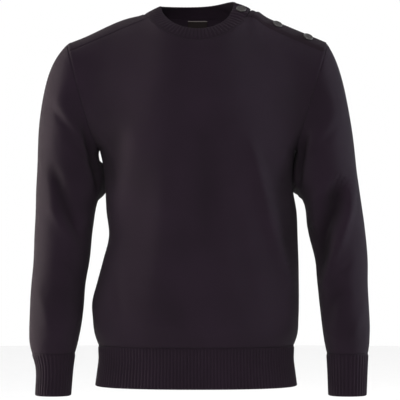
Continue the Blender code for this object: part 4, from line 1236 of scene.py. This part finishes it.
# %% Button and thread shapes
BUTTON_RADIUS = 0.0095
BUTTON_HEIGHT = 0.0032
BUTTON_DISH = 0.62
BUTTON_SIDES = 72
THREAD_SIDES = 10
BUTTON_PROFILE = np.array([
    (0.00, BUTTON_DISH), (0.30, 0.60), (0.56, 0.60), (0.66, 0.63), (0.72, 0.76), (0.77, 0.91), (0.83, 0.98),
    (0.88, 0.99), (0.93, 0.93), (0.97, 0.80), (1.00, 0.60), (0.99, 0.42), (0.95, 0.25), (0.84, 0.10),
    (0.70, 0.00), (0.00, 0.00),
])


def capped(rings, ends):
    """Points and faces of a row of rings, each end closed by a fan to its own point."""
    ids = np.arange(rings.shape[0] * rings.shape[1]).reshape(rings.shape[:2])
    ids = np.hstack([ids, ids[:, :1]])
    faces = grid_quads(ids)[:, ::-1].tolist()
    for line, pole in ((ids[0], ids.max() + 1), (ids[-1][::-1], ids.max() + 2)):
        faces += [(pole, a, b) for a, b in zip(line[:-1], line[1:])]
    return np.concatenate([rings.reshape(-1, 3), ends]), faces


def turned(profile, sides):
    """x = r cos a, y = r sin a, z = height: a profile turned about Z, with one point at each pole."""
    angles = 2 * math.pi * np.arange(sides) / sides
    rings = np.stack([
        profile[1:-1, 0, None] * np.cos(angles),
        profile[1:-1, 0, None] * np.sin(angles),
        np.repeat(profile[1:-1, 1, None], sides, axis=1),
    ], axis=-1)
    return capped(rings, [[0, 0, profile[0, 1]], [0, 0, profile[-1, 1]]])


def tube(path, radius):
    """Rings of one radius, square to a path in the YZ plane, with a point at each end."""
    ahead = unit(np.gradient(path, axis=0))
    side_way = np.array([1.0, 0.0, 0.0])
    up_way = np.cross(ahead, side_way)
    angles = 2 * math.pi * np.arange(THREAD_SIDES) / THREAD_SIDES
    rings = path[:, None] + radius * (
        np.cos(angles)[None, :, None] * side_way + np.sin(angles)[None, :, None] * up_way[:, None]
    )
    return capped(rings, path[[0, -1]])


def mesh_of(name, points, faces):
    """A mesh from points and faces, its faces turned outwards."""
    mesh = bpy.data.meshes.new(name)
    mesh.from_pydata(np.asarray(points).tolist(), [], faces)
    shape = bmesh.new()
    shape.from_mesh(mesh)
    bmesh.ops.recalc_face_normals(shape, faces=shape.faces)
    shape.to_mesh(mesh)
    shape.free()
    return mesh


blank = mesh_of("blank", *turned(BUTTON_PROFILE * (BUTTON_RADIUS, BUTTON_HEIGHT), BUTTON_SIDES))
print("button before drilling:", len(blank.polygons), "faces")

# %% [markdown]
# ## Drill the button
#
# The four holes are cut out of the blank by upright round rods, and the cut is made permanent.

# %% Drill the button
HOLE_RADIUS = 0.0009
HOLE_PITCH = 0.0021
HOLE_SIDES = 20
HOLE_CORNERS = (45, 135, 225, 315)


def drilled_button():
    """The turned button less four upright round cutters."""
    shape = bmesh.new()
    for corner in HOLE_CORNERS:
        angle = math.radians(corner)
        made = bmesh.ops.create_cone(
            shape, cap_ends=True, segments=HOLE_SIDES,
            radius1=HOLE_RADIUS, radius2=HOLE_RADIUS, depth=3 * BUTTON_HEIGHT,
        )
        shift = Vector((HOLE_PITCH * math.cos(angle), HOLE_PITCH * math.sin(angle), 0.0))
        bmesh.ops.translate(shape, verts=made["verts"], vec=shift)
    body = placed("blank", blank)
    cutter = placed("cutter", bpy.data.meshes.new("cutter"))
    shape.to_mesh(cutter.data)
    shape.free()
    cut = body.modifiers.new("holes", "BOOLEAN")
    cut.operation = "DIFFERENCE"
    cut.object = cutter
    mesh = bpy.data.meshes.new_from_object(body.evaluated_get(bpy.context.evaluated_depsgraph_get()))
    bpy.data.objects.remove(body)
    bpy.data.objects.remove(cutter)
    return mesh


button_blank = drilled_button()
print("button after drilling:", len(button_blank.polygons), "faces")

# %% [markdown]
# ## Thread the buttons and set them
#
# Each button is a copy of the drilled blank with its own two bars of thread. One sits on the lap of the
# collar and two on the band, each turned so that it lies flat on the knit under it.

# %% Thread and set
THREAD_REACH = HOLE_PITCH * math.cos(math.radians(HOLE_CORNERS[0]))
THREAD_POINTS = 15
THREAD_RADIUS = 0.0005
THREAD_SUNK = 0.0008
THREAD_RISE = 0.0014
SHARP_ANGLE = math.radians(40)
BUTTON_GAP = 0.0003
COLLAR_BUTTON_ANGLE = 73.0
COLLAR_BUTTON_SHARE = 0.48
BAND_BUTTONS = {"button_inner": 0.345, "button_outer": 0.775}


def thread_bar(x):
    """An arc over the dish from one hole to the next, its ends sunk in the holes."""
    t = np.linspace(0.0, 1.0, THREAD_POINTS)
    y = THREAD_REACH * -np.cos(math.pi * t)
    z = BUTTON_DISH * BUTTON_HEIGHT - THREAD_SUNK + THREAD_RISE * np.sin(math.pi * t) ** 0.6
    return tube(np.stack([np.full_like(y, x), y, z], axis=-1), THREAD_RADIUS)


def set_button(name, place, axis):
    """The drilled button and its two thread bars, turned to the axis and moved to the place, in one mesh."""
    shape = bmesh.new()
    shape.from_mesh(button_blank)
    drilled = len(shape.faces)
    for x in (-THREAD_REACH, THREAD_REACH):
        shape.from_mesh(mesh_of("thread", *thread_bar(x)))
    turn = Vector(axis).to_track_quat("Z", "Y").to_matrix().to_4x4()
    bmesh.ops.transform(shape, matrix=turn, verts=shape.verts)
    bmesh.ops.translate(shape, vec=Vector(place), verts=shape.verts)
    shape.faces.ensure_lookup_table()
    for index, face in enumerate(shape.faces):
        face.smooth = True
        face.material_index = int(index >= drilled)
    mesh = bpy.data.meshes.new(name)
    shape.to_mesh(mesh)
    shape.free()
    mesh.set_sharp_from_angle(angle=SHARP_ANGLE)
    return placed(name, mesh)


row = int(np.abs(COLLAR_SHARES - COLLAR_BUTTON_SHARE).argmin())
column = int(np.abs(collar_degrees - COLLAR_BUTTON_ANGLE).argmin())
out = collar_out[row, column]
place = collar_rows[row, column] + out * (RIB_WALL / 2 + COLLAR_RIB_HEIGHT + BUTTON_GAP)
pieces["button_collar"] = set_button("button_collar_turned", place, out)
row = len(band_fore) + int(np.abs(band_rear - BUTTON_ROW_BACK).argmin())
for name, share in BAND_BUTTONS.items():
    column = round(share * BAND_STEPS) * BAND_SPLIT
    out = band_out[row, column]
    place = band_middle[row, column] + out * (BAND_WALL / 2 + BUTTON_GAP)
    pieces[name] = set_button(f"{name}_turned", place, out)
print("buttons:", [name for name in pieces if name.startswith("button")])

# %% [markdown]
# ## Neck label
#
# A small woven label hangs inside the back of the neck from the seam. It is left bare. It follows the back's
# own points, a little inside them. Its folded upper edge is painted pale, as a highlight where it catches the
# light.

# %% Neck label
LABEL_HALF = 0.0185
LABEL_TOP = 0.003
LABEL_LENGTH = 0.048
LABEL_WALL = 0.0008
LABEL_CLEAR = 0.0006
LABEL_ROWS = 24
LABEL_COLUMNS = 40
BACK_ROWS_NEAR = 60
BACK_COLUMNS_NEAR = 34


def neck_label(back):
    """Rows at even lengths below the neck seam, columns at even x, moved inwards from the back's points."""
    middle = back.shape[1] // 2
    near = back[-BACK_ROWS_NEAR:, middle - BACK_COLUMNS_NEAR:middle + BACK_COLUMNS_NEAR + 1]
    hung = down_columns(near, np.linspace(LABEL_LENGTH, LABEL_TOP, LABEL_ROWS + 1))
    across = np.linspace(LABEL_HALF, -LABEL_HALF, LABEL_COLUMNS + 1)
    rows = np.stack([read_off(-across, -line[:, 0], line) for line in hung])
    inward = -normals(rows)
    rows = rows + inward * (WALL / 2 + LABEL_CLEAR + LABEL_WALL / 2)
    edge = seam_distance(rows)
    half = inward * (LABEL_WALL / 2 * rounding(edge * 2))[..., None]
    return shell("neck_label_woven", rows + half, rows - half, walked_uv(rows), edge, np.ones(edge.shape))


pieces["neck_label"] = neck_label(cloth["back_panel"])
print("label reaches", LABEL_LENGTH * 1000, "mm below the neck seam")

# %% [markdown]
# ## Small tools for finishes
#
# A finish is a tree of nodes that works out colour, roughness and dents at each point of a surface. The same
# few nodes come back in every finish: noise, sums, ranges, a mix of two colours and a bump. Each gets a short
# name here.

# %% Tools for nodes
def feed(tree, made, inputs):
    """Each named input of a node gets its value, or a link from another node's socket."""
    for key, value in inputs.items():
        if isinstance(value, bpy.types.NodeSocket):
            tree.links.new(value, made.inputs[key])
        else:
            made.inputs[key].default_value = value


def node(tree, kind, inputs, **settings):
    """A new node with its settings and inputs."""
    made = tree.nodes.new(kind)
    for key, value in settings.items():
        setattr(made, key, value)
    feed(tree, made, inputs)
    return made


def math_node(tree, operation, *values):
    """One Math node's result."""
    return node(tree, "ShaderNodeMath", dict(enumerate(values)), operation=operation).outputs[0]


def noise(tree, scale, **more):
    """Soft noise of the object's own coordinates, 0 to 1."""
    place = node(tree, "ShaderNodeTexCoord", {}).outputs["Object"]
    return node(tree, "ShaderNodeTexNoise", {"Vector": place, "Scale": scale, **more}).outputs["Fac"]


def mapped(tree, value, low, high, start, end):
    """start at low, end at high and a straight way between them."""
    return node(tree, "ShaderNodeMapRange", {"Value": value, 1: low, 2: high, 3: start, 4: end}).outputs[0]


def mixed(tree, share, dark, light):
    """dark where the share is 0, light where it is 1."""
    inputs = {"Factor": share, "A": dark, "B": light}
    return node(tree, "ShaderNodeMix", inputs, data_type="RGBA").outputs["Result"]


def dented(tree, height, strength, distance):
    """The normal of a surface that stands out by its height x distance."""
    inputs = {"Height": height, "Strength": strength, "Distance": distance}
    return node(tree, "ShaderNodeBump", inputs).outputs["Normal"]


def across_and_up(tree):
    """The cloth's own UV map in metres, across and up."""
    uv = node(tree, "ShaderNodeUVMap", {}, uv_map="cloth").outputs["UV"]
    return node(tree, "ShaderNodeSeparateXYZ", {"Vector": uv}).outputs[:2]


def finish(name, draw, *values):
    """A node material whose shader has the inputs that draw gives."""
    made = bpy.data.materials.new(name)
    made.use_nodes = True
    feed(made.node_tree, made.node_tree.nodes["Principled BSDF"], draw(made.node_tree, *values))
    return made


print("node tools ready")

# %% [markdown]
# ## Knitted yarn
#
# From near by, plain knitting is rows of small V's: each stitch is two slanting legs of yarn. The pattern
# below draws them from the UV map as height: across a wale the legs rise and fall as |sin|, and up the cloth
# each leg is one wave whose phase slants away from the wale's middle. The yarn is dyed a purple-black that
# drifts a little in tone over the cloth. Shade is painted into that colour too: darker between the stitches
# and lighter on their legs, darker in the seams and down in the folds and rib troughs. The sheen is the pale
# bloom that soft wool shows at its edges.

# %% Knitted yarn
LEG_SLANT = 0.5
STITCH_LOW = 0.7
STITCH_WAVE = 0.3
STITCH_DEPTH = 0.0008
BASE_TONE = -0.20
# Drift and fleck are the yarn's own tone; the stitch share is painted shade between the stitches and painted
# highlight on their legs.
TONE_SHARES = {"drift": 0.75, "fleck": 0.30, "stitch": 0.52}
# Painted shade along the seams: the tone is this share of itself at a seam and comes back to whole over the
# width.
SEAM_PAINTED_SHADE = 0.72
SEAM_PAINTED_SHADE_WIDTH = 0.0022
# The rise at which the painted shade of folds and rib troughs is darkest.
DARKEST_SHADE_RISE = -1.5
FUZZ_SHARE = 0.25


def stitches(tree):
    """|sin 2 pi U| (low + wave cos 2 pi (V + slant |2 frac U - 1|)), U in wales and V in courses."""
    across, up = across_and_up(tree)
    wale = math_node(tree, "DIVIDE", across, WALE)
    course = math_node(tree, "DIVIDE", up, COURSE)
    leg = math_node(tree, "MULTIPLY_ADD", math_node(tree, "FRACT", wale), 2.0, -1.0)
    leg = math_node(tree, "ABSOLUTE", leg)
    phase = math_node(tree, "MULTIPLY_ADD", leg, LEG_SLANT, course)
    wave = math_node(tree, "COSINE", math_node(tree, "MULTIPLY", phase, 2 * math.pi))
    wave = math_node(tree, "MULTIPLY_ADD", wave, STITCH_WAVE, STITCH_LOW)
    strand = math_node(tree, "SINE", math_node(tree, "MULTIPLY", wale, 2 * math.pi))
    return math_node(tree, "MULTIPLY", math_node(tree, "ABSOLUTE", strand), wave)


def yarn(tree, dark, light):
    """Tone = (base + shares of drift, fleck and stitch) x seam x rise, where stitch, seam and rise are
    painted shade; bump from stitches and fuzz.
    """
    fleck = noise(tree, scale=420.0, Detail=2.0, Roughness=0.6)
    parts = {
        "drift": noise(tree, scale=9.0, Detail=3.0, Roughness=0.55), "fleck": fleck, "stitch": stitches(tree),
    }
    tone = BASE_TONE
    for part, share in TONE_SHARES.items():
        tone = math_node(tree, "MULTIPLY_ADD", parts[part], share, tone)
    # Painted shade: darker near the seams and where the rise is low, in folds and rib troughs.
    for title, low, high, start in (
        ("seam", 0.0, SEAM_PAINTED_SHADE_WIDTH, SEAM_PAINTED_SHADE), ("rise", DARKEST_SHADE_RISE, 1.0, 0.0),
    ):
        value = node(tree, "ShaderNodeAttribute", {}, attribute_name=title).outputs["Fac"]
        tone = math_node(tree, "MULTIPLY", tone, mapped(tree, value, low, high, start, end=1.0))
    fuzz = noise(tree, scale=2600.0, Detail=1.0)
    height = math_node(tree, "MULTIPLY_ADD", fuzz, FUZZ_SHARE, parts["stitch"])
    return {
        "Base Color": mixed(tree, tone, dark, light),
        "Roughness": mapped(tree, fleck, low=0.0, high=1.0, start=0.78, end=0.95),
        "Normal": dented(tree, height, strength=0.7, distance=STITCH_DEPTH),
        "Specular IOR Level": 0.04,
        "Sheen Weight": 0.014,
        "Sheen Roughness": 0.5,
        "Sheen Tint": (0.80, 0.70, 0.78, 1.0),
    }


KNIT = finish("plain_knit", yarn, (0.0024, 0.0013, 0.0024, 1.0), (0.0080, 0.0046, 0.0083, 1.0))
RIB = finish("ribbed_knit", yarn, (0.0020, 0.0010, 0.0020, 1.0), (0.0086, 0.0049, 0.0088, 1.0))
BAND = finish("band_knit", yarn, (0.0024, 0.0014, 0.0022, 1.0), (0.0080, 0.0050, 0.0074, 1.0))
print("yarns:", KNIT.name, RIB.name, BAND.name)

# %% [markdown]
# ## Buttons, label and floor
#
# The buttons are grey-black moulded plastic with cloudy streaks, a little scuffed on their rims, so their
# roughness varies. Their thread is twisted from plies, painted dark between them as shade. The label is woven
# satin with fine threads, painted darker between them as shade, and its folded upper edge is painted pale as
# a highlight. The floor has a faint grain and stays out of the way.

# %% Smaller finishes
WARP_PITCH = 0.0005
WEFT_PITCH = 0.0004
# Lengths below the label's top edge between which the painted highlight of its fold fades in.
LABEL_FOLD_HIGHLIGHT = (0.0018, 0.0012)


def plastic(tree):
    """Streaky plastic: colour from stretched noise, roughness and slight dents from fine noise."""
    streak = noise(tree, scale=260.0, Detail=4.0, Distortion=1.4)
    scuff = noise(tree, scale=1500.0, Detail=3.0)
    return {
        "Base Color": mixed(tree, streak, (0.006, 0.0055, 0.0053, 1.0), (0.020, 0.018, 0.0173, 1.0)),
        "Roughness": mapped(tree, scuff, low=0.3, high=0.7, start=0.40, end=0.60),
        "Normal": dented(tree, scuff, strength=0.15, distance=0.0001),
        "Specular IOR Level": 0.20,
    }


def twisted_thread(tree):
    """Sewing thread: fine slanting bands, painted dark between the plies as shade."""
    place = node(tree, "ShaderNodeTexCoord", {}).outputs["Object"]
    bands = {"Vector": place, "Scale": 900.0, "Distortion": 0.6}
    plies = node(tree, "ShaderNodeTexWave", bands, bands_direction="DIAGONAL").outputs["Fac"]
    return {
        "Base Color": mixed(tree, plies, (0.008, 0.006, 0.008, 1.0), (0.024, 0.020, 0.023, 1.0)),
        "Normal": dented(tree, plies, strength=0.5, distance=0.0001),
        "Roughness": 0.7,
    }


def woven_label(tree):
    """Height of the threads = (1 + sin(warp) sin(weft)) / 2, which also paints shade between them; the upper
    edge goes over to a painted highlight of its fold.
    """
    across, up = across_and_up(tree)
    warp, weft = (
        math_node(tree, "SINE", math_node(tree, "MULTIPLY", way, 2 * math.pi / pitch))
        for way, pitch in ((across, WARP_PITCH), (up, WEFT_PITCH))
    )
    weave = math_node(tree, "MULTIPLY_ADD", math_node(tree, "MULTIPLY", warp, weft), 0.5, 0.5)
    tone = math_node(tree, "MULTIPLY_ADD", weave, 0.4, 0.1)
    plain = mixed(tree, tone, (0.0022, 0.0014, 0.0014, 1.0), (0.0075, 0.0050, 0.0048, 1.0))
    low, high = (LABEL_LENGTH - LABEL_TOP - down for down in LABEL_FOLD_HIGHLIGHT)
    fold = mapped(tree, up, low, high, start=0.0, end=1.0)
    return {
        "Base Color": mixed(tree, fold, plain, (0.045, 0.040, 0.038, 1.0)),
        "Normal": dented(tree, weave, strength=0.5, distance=0.0001),
        "Roughness": 0.7,
        "Specular IOR Level": 0.06,
    }


def pale_floor(tree):
    """Near white with a faint grain."""
    grain = noise(tree, scale=30.0, Detail=2.0)
    white = mixed(tree, grain, (0.86, 0.86, 0.86, 1.0), (0.90, 0.90, 0.90, 1.0))
    return {"Base Color": white, "Roughness": 0.9}


BUTTON = finish("button_plastic", plastic)
THREAD = finish("button_thread", twisted_thread)
LABEL = finish("label_weave", woven_label)
floor.data.materials.append(finish("pale_floor", pale_floor))
print("finishes:", [made.name for made in (BUTTON, THREAD, LABEL)])

# %% [markdown]
# ## Dress the model
#
# Last, each piece gets its finish and takes the place of the solid it was made for, and its cloth area is
# printed beside the area of its flat cut. The panels are cut as a rectangle less the neck and armholes, and a
# sleeve as a trapeze with a rounded head. Ribbed bands are knitted as straight strips that stretch round the
# body, wrist or neck.

# %% Finishes, places and cuts
CUTS = {
    "front_panel": (KNIT, "knit", (0.56, 0.58), 0.290, "hung", ["collar", "hem_band_front"]),
    "back_panel": (KNIT, "knit", (0.58, 0.62), 0.310, "hung", ["collar", "hem_band_back"]),
    "sleeve_left": (KNIT, "knit", (0.44, 0.56), 0.180, "hung", ["front_panel", "back_panel"]),
    "sleeve_right": (KNIT, "knit", (0.44, 0.56), 0.180, "hung", ["front_panel", "back_panel"]),
    "hem_band_front": (RIB, "rib", (0.50, 0.075), None, "stretched", ["front_panel"]),
    "hem_band_back": (RIB, "rib", (0.48, 0.075), None, "stretched", ["back_panel"]),
    "cuff_left": (RIB, "rib", (0.26, 0.078), None, "stretched", ["sleeve_left"]),
    "cuff_right": (RIB, "rib", (0.26, 0.078), None, "stretched", ["sleeve_right"]),
    "collar": (RIB, "rib", (0.54, 0.034), None, "stretched", ["front_panel", "back_panel"]),
    "shoulder_placket": (BAND, "rib", (0.150, 0.032), None, "laid", ["front_panel", "back_panel"]),
    "neck_label": (LABEL, "label", (0.037, 0.045), None, "hung", ["back_panel"]),
}
for name, (finish, slot, flat, area, held, rests) in CUTS.items():
    piece = pieces[name]
    piece.data.materials.append(finish)
    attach(piece, "root")
    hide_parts(name)
    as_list(rests)
    print(name, "cloth", round(area_of(piece), 4), "m2, cut", round(area or flat[0] * flat[1], 4), "m2")
for name in ("button_collar", "button_inner", "button_outer"):
    piece = pieces[name]
    piece.data.materials.append(BUTTON)
    piece.data.materials.append(THREAD)
    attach(piece, "root")
    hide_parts(name)

# %% [markdown]
# ## Print the sizes
#
# The cloth is made to fill the same box as the solid model, within a few millimetres. Both boxes are printed.

# %% Sizes
looks_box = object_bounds()
for title, box in (("solid", solid_box), ("looks", looks_box)):
    print(title, [[round(1000 * value, 1) for value in corner] for corner in box])
